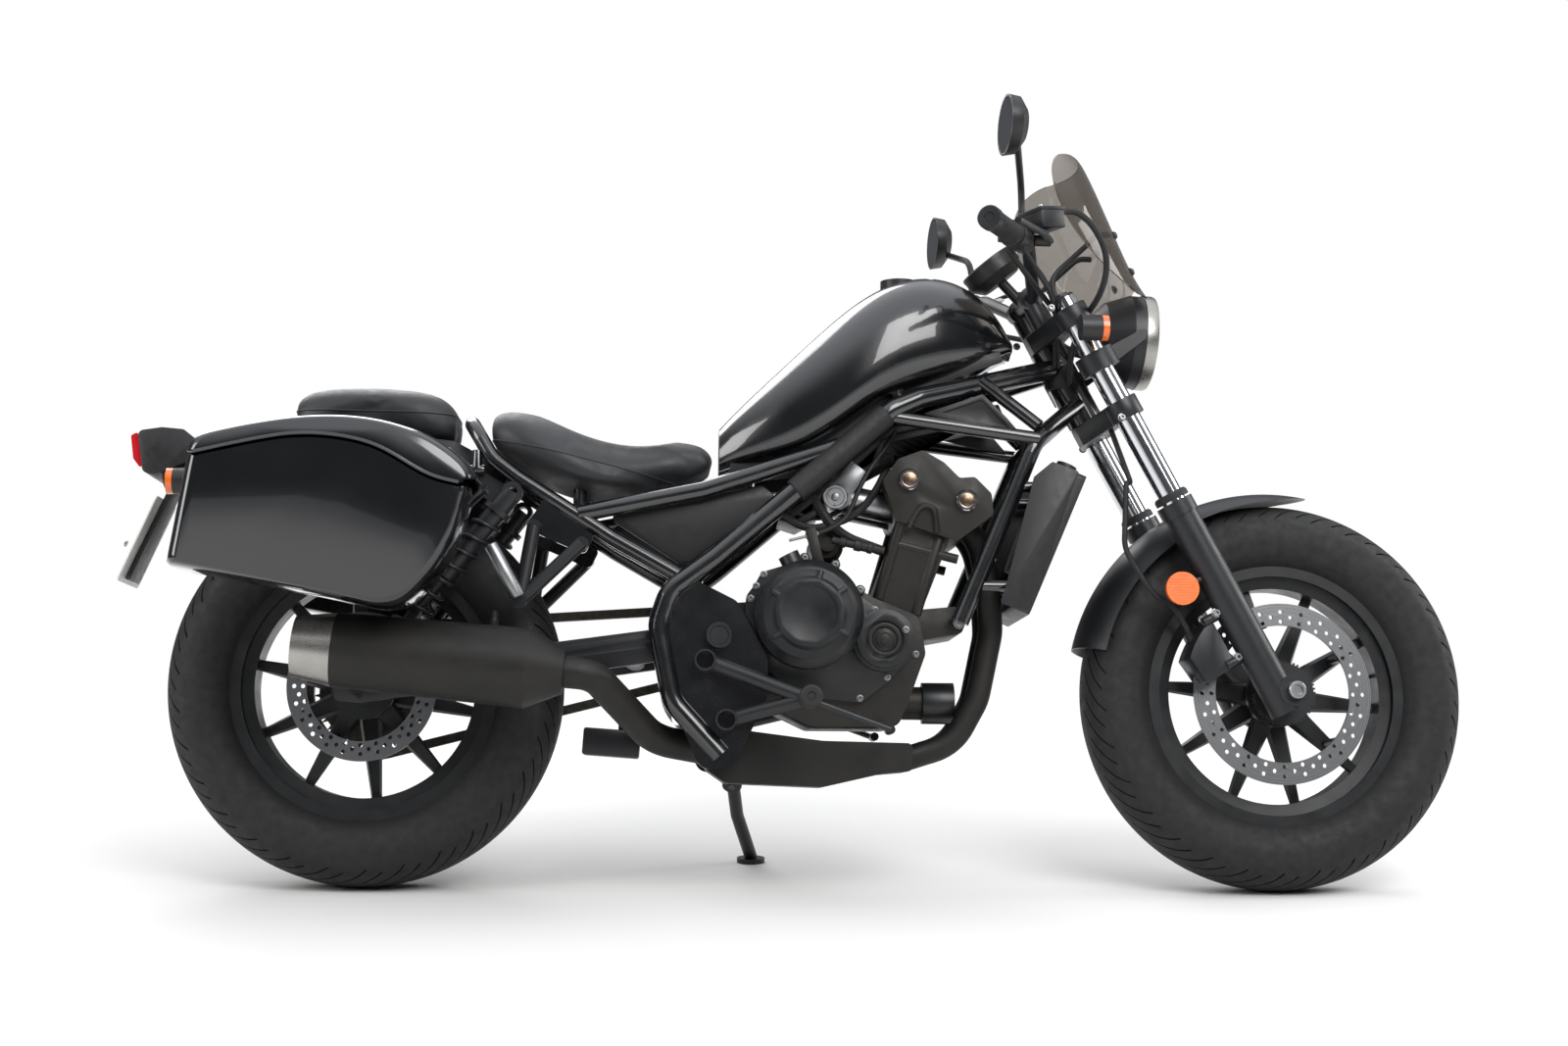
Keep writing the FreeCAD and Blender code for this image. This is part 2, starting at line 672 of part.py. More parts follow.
def grips():
    shapes = []
    for side in (-1, 1):
        inner, out = gripLine(side)
        bore = mm("barRadius") + mm("seatGap")
        end = inner + out * mm("gripLength")
        sleeve = pipe(inner, end, mm("gripRadius"), bore)
        collar = pipe(inner, inner + out * mm("leverThickness"), mm("gripRadius") * 1.3, bore)
        shapes.append(fuse([sleeve, collar]))
        shapes.append(bar(end + out * mm("seatGap"), end + out * mm("leverThickness"), mm("barEndRadius")))
    return feature("grips", together(shapes), steered)


def controls():
    """Switch housings, levers and the brake's fluid cup."""
    shapes = []
    for side in (-1, 1):
        inner, out = gripLine(side)
        bore = mm("barRadius") + mm("seatGap")
        start = inner - out * (mm("switchLength") + mm("leverThickness") / 2)
        housing = pipe(start, inner - out * mm("leverThickness") / 2, mm("switchRadius"), bore)
        perch = start - out * (mm("leverThickness") * 3)
        block = pipe(perch, start - out * mm("seatGap"), mm("switchRadius") * 0.9, bore)
        front = Vector(1, 0, 0)
        pivot = perch + out * mm("leverThickness") * 1.5 + front * mm("leverReach")
        base = bar(perch + out * mm("leverThickness") * 1.5 + front
                   * (mm("barRadius") + mm("leverThickness")), pivot,
                   mm("leverThickness"))
        tip = inner + out * mm("gripLength") * 0.95 + front * mm("leverReach") * 0.9
        lever = rod([pivot, inner + front * mm("leverReach") * 1.15, tip], mm("leverThickness") * 0.6,
                    mm("barBend"))
        shapes.append(housing)
        shapes.append(fuse([block, base, lever]))
    return feature("controls", together(shapes), steered)


def mirrorPlace(side):
    stemFoot, out = gripLine(side)
    foot = stemFoot - out * (mm("switchLength") + mm("leverThickness") * 2)
    centre = Vector(barPoint(0, 0, 0).x, side * mm("mirrorHalfSpread"), 0) + Vector(mm("mirrorBack") * -1,
            0, 0)
    return foot, Vector(centre.x, centre.y, foot.z + mm("mirrorRise"))


ovalSteps = 12


def ovalWire(centre, width, height):
    """An upright oval that faces backward."""
    points = []
    for step in range(ovalSteps):
        angle = 2 * math.pi * step / ovalSteps
        across2 = width / 2 * math.cos(angle)
        up = height / 2 * math.sin(angle)
        points.append(centre + Vector(0, across2, up))
    return smoothRing(points)


def mirrors():
    shapes = []
    glasses = []
    for side in (-1, 1):
        foot, centre = mirrorPlace(side)
        wide = mm("mirrorWidth")
        high = mm("mirrorHeight")
        deep = mm("mirrorDepth")
        backFace = centre - Vector(deep / 2, 0, 0)
        wires = [ovalWire(backFace, wide, high), ovalWire(centre + Vector(deep * 0.1, 0, 0), wide * 0.94,
                                                          high * 0.93),
                 ovalWire(centre + Vector(deep / 2, 0, 0), wide * 0.6, high * 0.55)]
        shell = Part.makeLoft(wires, True, True)
        inset = mm("mirrorGlass") * 1.5
        pocket = Part.Face(ovalWire(backFace, wide - inset * 2, high - inset * 2)).extrude(Vector(inset,
                0, 0))
        shell = shell.cut(pocket)
        knee = Vector(foot.x, foot.y, foot.z + mm("mirrorRise") * 0.55)
        start = foot + Vector(0, 0, mm("switchRadius") * 0.9 + mm("seatGap") * 4)
        stem = rod([start, knee, centre + Vector(deep * 0.1, 0, -high * 0.2)], mm("mirrorStem"),
                   mm("barBend"))
        shapes.append(fuse([shell, stem]))
        glassFace = Part.Face(ovalWire(backFace + Vector(mm("seatGap"), 0, 0), wide - inset * 2.4,
                                       high - inset * 2.4))
        glasses.append(glassFace.extrude(Vector(mm("mirrorGlass"), 0, 0)))
    feature("mirrors", together(shapes), steered)
    return feature("mirror_glasses", together(glasses), steered)


# Headlamp and meter

def turnedPlace(centre, direction):
    return steered.multiply(Placement(centre, Rotation(Vector(0, 1, 0), direction)))


def headlamp():
    """A round lamp in a shell that narrows behind the rim ring."""
    radius = size("lampRadius")
    depth = size("lampDepth")
    ring = size("lampRing")
    wall = size("lampWall")
    body = newBody("headlamp")
    front = size("lampLensDepth")
    revolve(body, "Shell", [(0, -depth), (radius * 0.45, -depth), (radius * 0.8, -depth * 0.75),
                            (radius, -depth * 0.35),
                            (radius, 0), (radius - ring, 0), (radius - ring, -front),
                            (radius - wall, -front * 1.5),
                            (radius - wall, -depth * 0.35), (radius * 0.8 - wall, -depth * 0.72),
                            (radius * 0.4, -depth + wall), (0, -depth + wall)])
    centre = legPoint(0) + steerAxis * lampAlong + ahead * mm("lampAhead")
    place = turnedPlace(centre, Vector(1, 0, -0.06))
    keep(body, "headlamp", place)
    lens = newBody("headlamp_lens")
    gap = size("seatGap")
    revolve(lens, "Glass", [(0, -front), (radius - ring - gap, -front), (radius - ring - gap, 0),
                            ((radius - ring) * 0.6, front * 0.5), (0, front * 0.7)])
    keep(lens, "headlamp_lens", place)
    ears = []
    inner = mm("lampRadius") + mm("seatGap")
    thick = mm("leverThickness") * 0.6
    for side in (-1, 1):
        low = legPoint(lampAlong - mm("clampThickness") / 2, side)
        ring = pipe(low, low + steerAxis * mm("clampThickness"), mm("forkHalfWidth") - inner - thick * 0.7,
                    mm("forkTubeRadius") + mm("seatGap"))
        hub = legPoint(lampAlong, side)
        tip = centre - Vector(mm("lampDepth") * 0.2, 0, 0)
        high = mm("clampThickness") / 2
        plate = sidePlate([hub + steerAxis * high, hub - steerAxis * high, tip - Vector(0, 0, high * 0.6),
                           tip + Vector(0, 0, high * 0.6)], high * 0.4, side * inner, side * thick)
        clear = bar(low - steerAxis * high, low + steerAxis * high * 4,
                    mm("forkTubeRadius") + mm("seatGap"))
        ears.append(fuse([ring, plate]).cut(clear))
    return ears


def meter():
    body = newBody("instrument")
    radius = size("meterRadius")
    depth = size("meterDepth")
    rimWide = size("lampRing")
    revolve(body, "Drum", [(0, 0), (radius * 0.7, 0), (radius, depth * 0.4), (radius, depth),
                           (radius - rimWide * 0.5, depth), (radius - rimWide * 0.6, depth * 0.9),
                           (0, depth * 0.9)])
    tilt = math.radians(mm("meterTilt"))
    centre = barPoint(*meterShare)
    keep(body, "instrument", turnedPlace(centre, Vector(-math.cos(tilt), 0, math.sin(tilt))))
    out = Vector(-math.cos(tilt), 0, math.sin(tilt))
    room = bar(centre - out * mm("seatGap"), centre + out * mm("meterDepth"), mm("meterRadius"))
    stalk = postTo(centre - out * mm("seatGap"), barPoint(*barRunShare[0]), mm("leverThickness"),
                   upright["handlebar"])
    return max(stalk.cut(room).Solids, key=lambda solid: solid.Volume)


meterShare = (-0.15, 0, 0.214)


# Screen

screenRowShare = [(0.01, 1.0, 0.6), (0.18, 0.76, 0.86), (0.45, 0.5, 1.0), (0.75, 0.24, 0.97),
                  (1.0, 0.0, 0.55)]


def screenArc(rise, forward, wide, inset):
    """One level of the screen: an arc that wraps back at both sides."""
    height = mm("screenHeight")
    base = legPoint(0) + steerAxis * screenAlong + ahead * mm("screenAhead")
    low = Vector(base.x, 0, base.z)
    half = mm("screenHalfWidth") * wide
    lead = mm("screenLead")
    middle = low + Vector(-lead * (1 - forward) - inset, 0, height * rise)
    back = mm("screenWrap") * wide * wide
    ends = [middle + Vector(-back, side * (half - inset * 0.3), 0) for side in (-1, 1)]
    return Part.Arc(ends[0], middle, ends[1])


def windscreen():
    """A curved plate between arcs that lie level above each other."""
    wires = []
    thick = mm("screenThickness")
    for rise, forward, wide in screenRowShare:
        outer = screenArc(rise, forward, wide, 0)
        inner = screenArc(rise, forward, wide, thick)
        edges = [outer.toShape(), Part.makeLine(outer.EndPoint, inner.EndPoint), inner.toShape(),
                 Part.makeLine(inner.StartPoint, outer.StartPoint)]
        wires.append(Part.Wire(Part.sortEdges(edges)[0]))
    lampMiddle = legPoint(0) + steerAxis * lampAlong + ahead * mm("lampAhead")
    reach = Vector(mm("lampDepth"), 0, 0)
    arch = bar(lampMiddle - reach, lampMiddle + reach, mm("lampRadius") + mm("screenLampGap"))
    screen = Part.makeLoft(wires, True, False).cut(arch)
    feature("windscreen", screen, steered)
    return screen


def screenBrackets(screen):
    """Bent rods from the upper clamp to the back of the screen."""
    shapes = []
    rise, forward, wide = screenRowShare[2]
    back = screenArc(rise, forward, wide, mm("screenThickness") / 2).toShape()
    screen.translate(Vector(-mm("seatGap"), 0, 0))
    for side in (-1, 1):
        foot = legPoint(upperClampAlong + mm("clampThickness") + mm("seatGap"))
        foot += across * (side * mm("forkHalfWidth") * 0.72)
        knee = foot + steerAxis * mm("screenStayRise")
        end = back.valueAt(back.getParameterByLength(back.Length * 0.69))
        end = end if end.y * side > 0 else mirrored(end)
        near = end - Vector(mm("screenStayRise") * 0.4, 0, 0)
        stay = rod([foot, knee, near, end], mm("screenStayRadius"), mm("barBend")).cut(screen)
        shapes.append(max(stay.Solids, key=lambda solid: solid.Volume))
    return shapes


def frontIndicators():
    bodies = []
    lenses = []
    for side in (-1, 1):
        root = legPoint(lampAlong + mm("lampRadius") * 0.6, side) + across * (side * mm("forkTubeRadius"))
        tip = root + across * (side * mm("indicatorLength") * 0.8)
        radius = mm("indicatorRadius")
        bodies.append(fuse([bar(root + across * side * mm("seatGap") * 2, tip, radius * 0.4),
                            bar(tip + Vector(-radius, 0, 0), tip + Vector(radius * 0.6, 0, 0), radius)]))
        lenses.append(bar(tip + Vector(radius * 0.6 + mm("seatGap"), 0, 0),
                          tip + Vector(radius * 1.1, 0, 0), radius))
    feature("front_indicators", together(bodies), steered)
    return feature("front_indicator_lenses", together(lenses + [reflector(side) for side in (-1, 1)]),
                   steered)


def reflectorSeat(side):
    """Centre of a round reflector's back, behind a fork lower."""
    on = legPoint(mm("reflectorAlong"), side)
    return on - ahead * mm("reflectorBack") + across * (side * mm("reflectorOut"))


def reflector(side):
    back = reflectorSeat(side)
    return bar(back, back + across * (side * mm("reflectorDepth")), mm("reflectorRadius"))


def reflectorStay(side):
    """A rod from the fork lower to the reflector's back."""
    back = reflectorSeat(side) - across * (side * mm("seatGap"))
    tip = back - across * (side * mm("screenStayRadius"))
    on = Vector(back.x, 0, back.z)
    leg = legPoint(mm("reflectorAlong"), side)
    leg = Vector(leg.x, tip.y, leg.z)
    lowerLeg = bar(legPoint(0, side), legPoint(mm("forkLowerLength"), side),
                   mm("forkLowerRadius") + mm("seatGap"))
    stay = bar(tip, leg, mm("screenStayRadius")).fuse(bar(tip, back,
                                                          mm("screenStayRadius") * 2)).cut(lowerLeg)
    return min(stay.Solids, key=lambda solid: solid.CenterOfMass.distanceToPoint(on))


def brakeHose():
    """The hose from the caliper's top round behind the fork leg and up to the lower clamp, with both its fittings."""
    places = [legPoint(along, -1, forward) + across * left for along, forward, left in hoseRouteShare()]
    hose = rod(places, mm("hoseRadius"), mm("hoseBend"))
    hose = hose.fuse(bar(places[0], places[0] + (places[1] - places[0]).normalize() * mm("reflectorRadius"),
                         mm("hoseRadius") * 1.6))
    caliper = upright["front_caliper"].copy()
    caliper.translate(steerAxis * mm("seatGap"))
    clamps = upright["fork_clamps"].copy()
    clamps.translate(steerAxis * -mm("seatGap"))
    hose = max(hose.cut(caliper).Solids, key=lambda solid: solid.Volume)
    hose = max(hose.cut(clamps).Solids, key=lambda solid: solid.Volume)
    return feature("brake_hose", hose, steered)


def hoseRouteShare():
    """Corners of the hose: height above the axle along the leg, then ahead of the leg, then to the left."""
    low = mm("caliperAlong") + mm("caliperHeight") * 0.05
    out = mm("forkHalfWidth") - mm("discOffset")
    back = -mm("caliperBack")
    far = back * 1.5
    top = lowerClampAlong + mm("clampThickness") * 0.5
    return [(low, back, out), (low + mm("caliperHeight") * 0.7, back, out),
            (low + mm("caliperHeight"), far, 0),
            (top * 0.62, far * 1.05, 0), (top * 0.8, back * 0.75, out * 0.1),
            (top - mm("caliperHeight"), back * 0.62, out * 0.4),
            (top, -mm("forkTubeRadius"), out * 0.9)]


# Front fender

def arcSection(centre, crown, edge, halfWidth, thickness):
    """The curved section of a fender in the plane above an axle."""
    def curve(inset):
        top = centre + Vector(0, 0, crown - inset)
        ends = [centre + Vector(0, side * (halfWidth - inset), edge) for side in (-1, 1)]
        return Part.Arc(ends[0], top, ends[1])
    outer = curve(0)
    inner = curve(thickness)
    edges = [outer.toShape(), Part.makeLine(outer.EndPoint, inner.EndPoint), inner.toShape(),
             Part.makeLine(inner.StartPoint, outer.StartPoint)]
    return Part.Face(Part.Wire(Part.sortEdges(edges)[0]))


def wheelPlace(radius, turn):
    """A place beside the front axle, by its distance and its angle above the horizontal."""
    angle = math.radians(turn)
    return frontAxle + Vector(math.cos(angle), 0, math.sin(angle)) * radius


fenderNotchShare = [(0.74, 119), (0.925, 117), (0.928, 106), (0.935, 98), (0.953, 90), (0.975, 83.5),
                    (1.01, 76.5),
                    (1.01, 72), (0.74, 72)]


def frontFender():
    """A fender over the front tyre, with stays that reach the fork lowers."""
    section = arcSection(frontAxle, mm("frontFenderRadius"), mm("frontFenderEdge"),
                         mm("frontFenderHalfWidth"),
                         mm("fenderThickness"))
    start = mm("fenderFrontAngle")
    section.rotate(frontAxle, across, start)
    shell = section.revolve(frontAxle, across, -mm("fenderSweep"))
    notch = [wheelPlace(share * mm("frontFenderRadius"), turn) for share, turn in fenderNotchShare]
    reach = mm("frontFenderHalfWidth") * 1.1
    shapes = [shell.cut(sidePlate(notch, mm("leverThickness") * 0.3, -reach, reach * 2))]
    for side in (-1, 1):
        seat = legPoint(mm("frontFenderEdge"), side) - across * (side
                                                                 * (mm("forkLowerRadius") + mm("seatGap")))
        near = Vector(seat.x, side * (mm("frontFenderHalfWidth") - mm("fenderThickness") * 2), seat.z)
        shapes.append(bar(near, seat, mm("leverThickness")))
    return feature("front_fender", fuse(shapes), steered)


# Front brake

def frontCaliper():
    """Two lugs on the right fork lower carry a caliper that straddles the disc."""
    middle = legPoint(mm("caliperAlong"), 0, -mm("caliperBack")) - across * mm("discOffset")
    high = mm("caliperHeight") / 2
    wide = mm("caliperWidth") / 2
    points = [(wide, -high * 0.8), (wide, high * 0.6), (wide * 0.3, high), (-wide * 0.7, high * 0.8),
              (-wide, 0),
              (-wide * 0.8, -high * 0.9)]
    outline = [middle + ahead * forward + steerAxis * up for forward, up in points]
    thick = mm("caliperThickness")
    block = sidePlate(outline, mm("leverThickness"), middle.y - thick, thick * 1.6)
    rimRoom = mm("rimWellRadius") - mm("rimThickness") - mm("runningGap")
    block = block.common(Part.makeCylinder(rimRoom, thick * 2, frontAxle + across * (middle.y - thick),
                                           across))
    slotHalf = mm("discThickness") / 2 + mm("discGap")
    slot = Part.makeCylinder(mm("frontDiscRadius") + mm("discGap"), slotHalf * 2, frontAxle - across * (
        mm("discOffset") + slotHalf), across)
    shapes = [block]
    for rise in (-0.35, 0.35):
        on = legPoint(mm("caliperAlong") + mm("caliperHeight") * rise, -1)
        start = on - ahead * (mm("forkLowerRadius") + mm("seatGap"))
        shapes.append(bar(start, start - ahead * mm("caliperWidth") * 0.4, mm("leverThickness") * 0.9))
    inner = mm("frontDiscInner") + mm("discSeatInset") + mm("discBossRadius") + mm("runningGap")
    sweep = Part.makeCylinder(inner, thick, frontAxle - across * mm("discOffset"), across)
    return feature("front_caliper", fuse(shapes).cut(slot).cut(sweep), steered)


# Frame

def frameBend(points, radius, bend="railBend"):
    return rod(points, mm(radius), mm(bend))


armPivot = Vector(mm("armPivotForward"), 0, mm("armPivotHeight"))
mainRailShare = [(0.576, 0.136, 0.215), (0.498, 0.136, 0.3), (0.474, 0.136, 0.42), (0.492, 0.136, 0.475),
                 (0.566, 0.134, 0.53), (0.704, 0.13, 0.648), (0.85, 0.125, 0.775), (0.895, 0.11, 0.796)]


def mainRail(side):
    """From below the swingarm pivot, up over the engine and on to the steering head."""
    places = [spot(forward, left * side, up) for forward, left, up in mainRailShare]
    places.append(headPoint(mm("headTubeLength") * 0.22, side * mm("railRadius") * 0.9))
    return frameBend(places, "railRadius")


def headPoint(rise, left=0, forward=0):
    base = steerGround + steerAxis * (axleAlong + headCentreAlong + rise)
    return base + ahead * forward + across * left


def seatLoop():
    """A loop that rises from the main rails and closes behind the rider's seat."""
    side = [(0.508, 0.128, 0.5), (0.398, 0.118, 0.562), (0.245, 0.108, 0.66), (0.205, 0.104, 0.69),
            (0.168, 0.09, 0.752)]
    left = [spot(*place) for place in side]
    right = [mirrored(place) for place in left]
    return frameBend(left + right[::-1], "hoopRadius")


def seatRail(side):
    places = [(0.345, 0.115, 0.6), (0.545, 0.12, 0.64), (0.62, 0.122, 0.664), (0.765, 0.124, 0.714)]
    return frameBend([spot(forward, left * side, up) for forward, left, up in places], "subRailRadius")


def downTubes(side):
    """The brace under the tank and the tube that hangs the engine's front."""
    top = headPoint(-mm("headTubeLength") * 0.27, side * mm("railRadius"))
    knee = spot(1.086, 0.106 * side, 0.73)
    low = spot(0.96, 0.112 * side, 0.43)
    hanger = frameBend([top, knee, low], "subRailRadius")
    back = spot(0.846, 0.124 * side, 0.762)
    level = bar(back, spot(1.089, 0.112 * side, 0.731), mm("braceRadius"))
    rise = bar(spot(1.0, 0.08 * side, 0.83), spot(1.09, 0.11 * side, 0.752), mm("braceRadius"))
    return [hanger, level, rise]


def pivotPlate(side):
    """The plate beside the swingarm pivot."""
    points = [spot(forward, 0, up) for forward, up in
              ((0.47, 0.36), (0.47, 0.46), (0.52, 0.5), (0.6, 0.46), (0.65, 0.37), (0.65, 0.31), (0.6, 0.2),
               (0.545, 0.19))]
    left = side * mm("pivotHalfWidth")
    return sidePlate(points, mm("pivotRadius"), left - mm("plateThickness") / 2, mm("plateThickness"))


def frameSeats():
    """Posts on the tubes where tank, seat, radiator and engine are fastened, plates for the pillion footrests."""
    shapes = []
    outline = [spot(x, 0, z) for x, z in ((0.258, 0.576), (0.292, 0.626), (0.334, 0.606), (0.37, 0.564),
                                          (0.356, 0.534))]
    post = mm("braceRadius")
    for side in (-1, 1):
        for forward, left, up in ((0.86, 0.1, 0.775), (0.62, 0.05, 0.664)):
            foot = spot(forward, left * side, up)
            shapes.append(postTo(foot, foot + Vector(0, 0, mm("tankHeight") * 0.3), post,
                                 upright["fuel_tank"]))
        foot = spot(0.345, 0.07 * side, 0.602)
        shapes.append(postTo(foot, foot + Vector(0, 0, mm("seatHeight")), post, upright["rider_seat"]))
        for share in (0.26, 0.8):
            foot = spot(1.086, 0.106 * side, 0.73) * (1 - share) + spot(0.96, 0.112 * side, 0.43) * share
            shapes.append(postTo(foot, foot + Vector(mm("radiatorWidth") * 0.4, 0, 0), post * 0.8,
                                 upright["radiator"]))
        lug = mm("caseHalfWidth") * 0.7 + mm("seatGap")
        shapes.append(bar(spot(0.957, 0.112 * side, 0.436), spot(0.957, 0, 0.436) + across * (side * lug),
                          post))
        inner = side * spot(0, pillionPlateShare, 0).y - mm("plateThickness") / 2
        shapes.append(sidePlate(outline, mm("leverThickness"), inner, mm("plateThickness")))
        rear = mm("caseHalfWidth") * 0.84 + mm("seatGap")
        shapes.append(bar(spot(0.632, 0.14 * side, 0.335), spot(0.632, 0, 0.335) + across * (side * rear),
                          post))
    return shapes


def mainFrame():
    shapes = []
    for side in (-1, 1):
        shapes += [mainRail(side), seatRail(side), pivotPlate(side)] + downTubes(side)
    shapes += [seatLoop()] + standBracket() + frameSeats()
    half = mm("pivotHalfWidth")
    for forward, left, up, name in ((0.345, 0.115, 0.602, "subRailRadius"),
                                    (0.51, 0.128, 0.283, "subRailRadius"),
                                    (0.53, 0.128, 0.5, "railRadius"), (0.62, 0.12, 0.664, "braceRadius")):
        shapes.append(bar(spot(forward, -left, up), spot(forward, left, up), mm(name)))
    low = headPoint(-mm("headTubeLength") / 2)
    high = headPoint(mm("headTubeLength") / 2)
    shapes.append(bar(low, high, mm("headTubeRadius")))
    frame = fuse(shapes)
    over = steerAxis * mm("cutOverrun")
    frame = frame.cut(bar(low - over, high + over, mm("stemRadius") + mm("bearingGap")))
    wide = across * (half + mm("railRadius") + mm("cutOverrun"))
    frame = frame.cut(bar(armPivot - wide, armPivot + wide, mm("pivotBolt") + mm("seatGap")))
    return feature("main_frame", frame)


# Swingarm, shocks and chain

def swingarm():
    """Two box-section arms that taper to the axle, joined behind the pivot by a cross tube."""
    shapes = []
    half = mm("armHalfWidth")
    thick = mm("armThickness")
    high = mm("armHeight") / 2
    for side in (-1, 1):
        along = (rearAxle - armPivot).normalize()
        up = Vector(-along.z, 0, along.x) * -1
        ends = [armPivot + up * high * 0.9, rearAxle + up * high,
                rearAxle + along * high * 1.4 + up * high * 0.7,
                rearAxle + along * high * 1.4 - up * high * 0.7, rearAxle - up * high,
                armPivot - up * high * 0.9]
        shapes.append(sidePlate(ends, mm("leverThickness"), side * half - thick / 2, thick))
        shapes.append(Part.makeCylinder(mm("pivotRadius") * 1.2, thick,
                                        Vector(armPivot.x, side * half - thick / 2,
                                                                               armPivot.z), across))
    cross = armPivot + (rearAxle - armPivot) * 0.24
    shapes.append(bar(cross - across * half, cross + across * half, mm("armHeight") * 0.42))
    arm = fuse(shapes)
    reach = across * (half + thick)
    arm = arm.cut(bar(rearAxle - reach, rearAxle + reach, mm("axleRadius") + mm("seatGap")))
    arm = arm.cut(bar(armPivot - reach, armPivot + reach, mm("pivotBolt") + mm("seatGap")))
    return feature("swingarm", together([arm, rearCaliper(arm)]))


def rearCaliper(arm):
    """A block that straddles the rear disc, on a foot that stands on the right arm."""
    out = Vector(math.cos(math.radians(mm("rearCaliperTurn"))), 0,
                 math.sin(math.radians(mm("rearCaliperTurn"))))
    along = Vector(-out.z, 0, out.x)
    middle = rearAxle + out * (mm("rearDiscRadius") * 0.84)
    high = mm("rearDiscRadius") * 0.2
    wide = mm("caliperWidth") * 0.72
    outline = [middle + out * high - along * wide, middle + out * high + along * wide,
               middle - out * high + along * wide * 0.9, middle - out * high - along * wide * 0.9]
    thick = mm("caliperThickness") * 0.4
    block = sidePlate(outline, mm("leverThickness"), -mm("discOffset") - thick, thick * 1.7)
    root = middle - across * (mm("discOffset") + thick)
    stand = Vector(root.x, -mm("armHalfWidth"), root.z)
    foot = bar(stand, stand - Vector(0, 0, mm("rearDiscRadius")), mm("leverThickness"))
    raised = arm.copy()
    raised.translate(Vector(0, 0, mm("seatGap")))
    foot = max(foot.cut(raised).Solids, key=lambda solid: solid.CenterOfMass.z)
    slotHalf = mm("discThickness") / 2 + mm("discGap")
    slot = Part.makeCylinder(mm("rearDiscRadius") + mm("discGap"), slotHalf * 2,
                             rearAxle - across * (mm("discOffset") + slotHalf), across)
    inner = mm("rearDiscInner") + mm("discSeatInset") + mm("discBossRadius") + mm("runningGap")
    sweep = Part.makeCylinder(inner, thick * 2, rearAxle - across * mm("discOffset"), across)
    return fuse([block, bar(root + across * thick * 0.5, stand, mm("leverThickness")),
                 foot]).cut(slot).cut(sweep)


def pivotShaft():
    """The swingarm's bolt with the round cap that shows on each side."""
    half = mm("pivotHalfWidth") + mm("plateThickness") / 2 + mm("seatGap")
    bolt = bar(armPivot - across * half, armPivot + across * half, mm("pivotBolt"))
    caps = [Part.makeCylinder(mm("pivotRadius"), mm("leverThickness"), armPivot + across * (side * half),
                              across * side) for side in (-1, 1)]
    return fuse([bolt] + caps)


def shockEnds(side):
    top = spot(*shockTopShare)
    low = spot(*shockLowShare)
    left = side * mm("shockHalfWidth")
    return Vector(top.x, left, top.z), Vector(low.x, left, low.z)


shockTopShare = (0.24, 0.142, 0.632)
shockLowShare = (0.026, 0.142, 0.36)


def coil(start, end, outer, wire, turns):
    """A round wire wound between two collars."""
    middle = outer - wire
    run = (end - start).Length - wire * 2
    line = Part.Wire(Part.makeHelix(run / turns, run, middle).Edges)
    ring = Part.Wire(Part.makeCircle(wire, Vector(middle, 0, 0), across))
    spring = line.makePipeShell([ring], True, True)
    spring.translate(Vector(0, 0, wire))
    spring.Placement = Placement(start, Rotation(Vector(0, 0, 1), end - start)).multiply(spring.Placement)
    return spring


def shocks():
    """Twin shock bodies with their eyes, collars and rods, and the springs around them."""
    shapes = []
    springs = []
    for side in (-1, 1):
        top, low = shockEnds(side)
        line = (low - top)
        run = line.Length
        line.normalize()
        eye = mm("shockEyeRadius")
        wide = mm("shockEyeWidth") / 2
        body = bar(top, top + line * run * 0.5, mm("shockBodyRadius"))
        shaft = bar(top, low, mm("shockRodRadius"))
        collarTop = top + line * run * 0.1
        collarLow = low - line * run * 0.12
        collars = [bar(collarTop, collarTop + line * mm("leverThickness"), mm("springRadius")),
                   bar(collarLow, collarLow + line * mm("leverThickness"), mm("springRadius"))]
        eyes = [bar(end - across * wide, end + across * wide, eye) for end in (top, low)]
        shape = fuse([body, shaft] + collars + eyes)
        for end in (top, low):
            shape = shape.cut(bar(end - across * (wide + 1), end + across * (wide + 1), eye * 0.5))
        shapes.append(shape)
        gap = mm("seatGap")
        start = collarTop + line * (mm("leverThickness") + gap)
        end = collarLow - line * gap
        springs.append(coil(start, end, mm("springRadius"), mm("springWire") / 2, mm("springTurns")))
    return feature("shocks", together(shapes + springs))


frontSprocketShare = (0.648, 0, 0.425)


def chain():
    """The drive chain as one loop around both sprockets."""
    left = mm("sprocketOffset")
    front = spot(*frontSprocketShare)
    wide = mm("chainWidth")
    pitch = mm("sprocketRadius") + mm("chainHeight") / 2 + mm("chainGap")
    small = mm("frontSprocketRadius") + mm("chainHeight") / 2 + mm("chainGap")
    shapes = []
    for grow in (0.5, -0.5):
        bigR = pitch + mm("chainHeight") * grow
        smallR = small + mm("chainHeight") * grow
        line = Vector(front.x - rearAxle.x, 0, front.z - rearAxle.z)
        slope = math.atan2(line.z, line.x)
        swing = math.acos((bigR - smallR) / line.Length)
        edges = []
        tops = []
        for turn in (swing, -swing):
            direction = Vector(math.cos(slope + turn), 0, math.sin(slope + turn))
            tops.append((rearAxle + direction * bigR, Vector(front.x, 0, front.z) + direction * smallR))
        back = rearAxle - line / line.Length * bigR
        nose = Vector(front.x, 0, front.z) + line / line.Length * smallR
        edges = [Part.makeLine(tops[0][0], tops[0][1]), Part.Arc(tops[0][1], nose, tops[1][1]).toShape(),
                 Part.makeLine(tops[1][1], tops[1][0]), Part.Arc(tops[1][0], back, tops[0][0]).toShape()]
        face = Part.Face(Part.Wire(Part.sortEdges(edges)[0]))
        face.translate(Vector(0, left - wide / 2, 0))
        shapes.append(face.extrude(Vector(0, wide, 0)))
    return feature("chain", shapes[0].cut(shapes[1]))


# Tank and seats

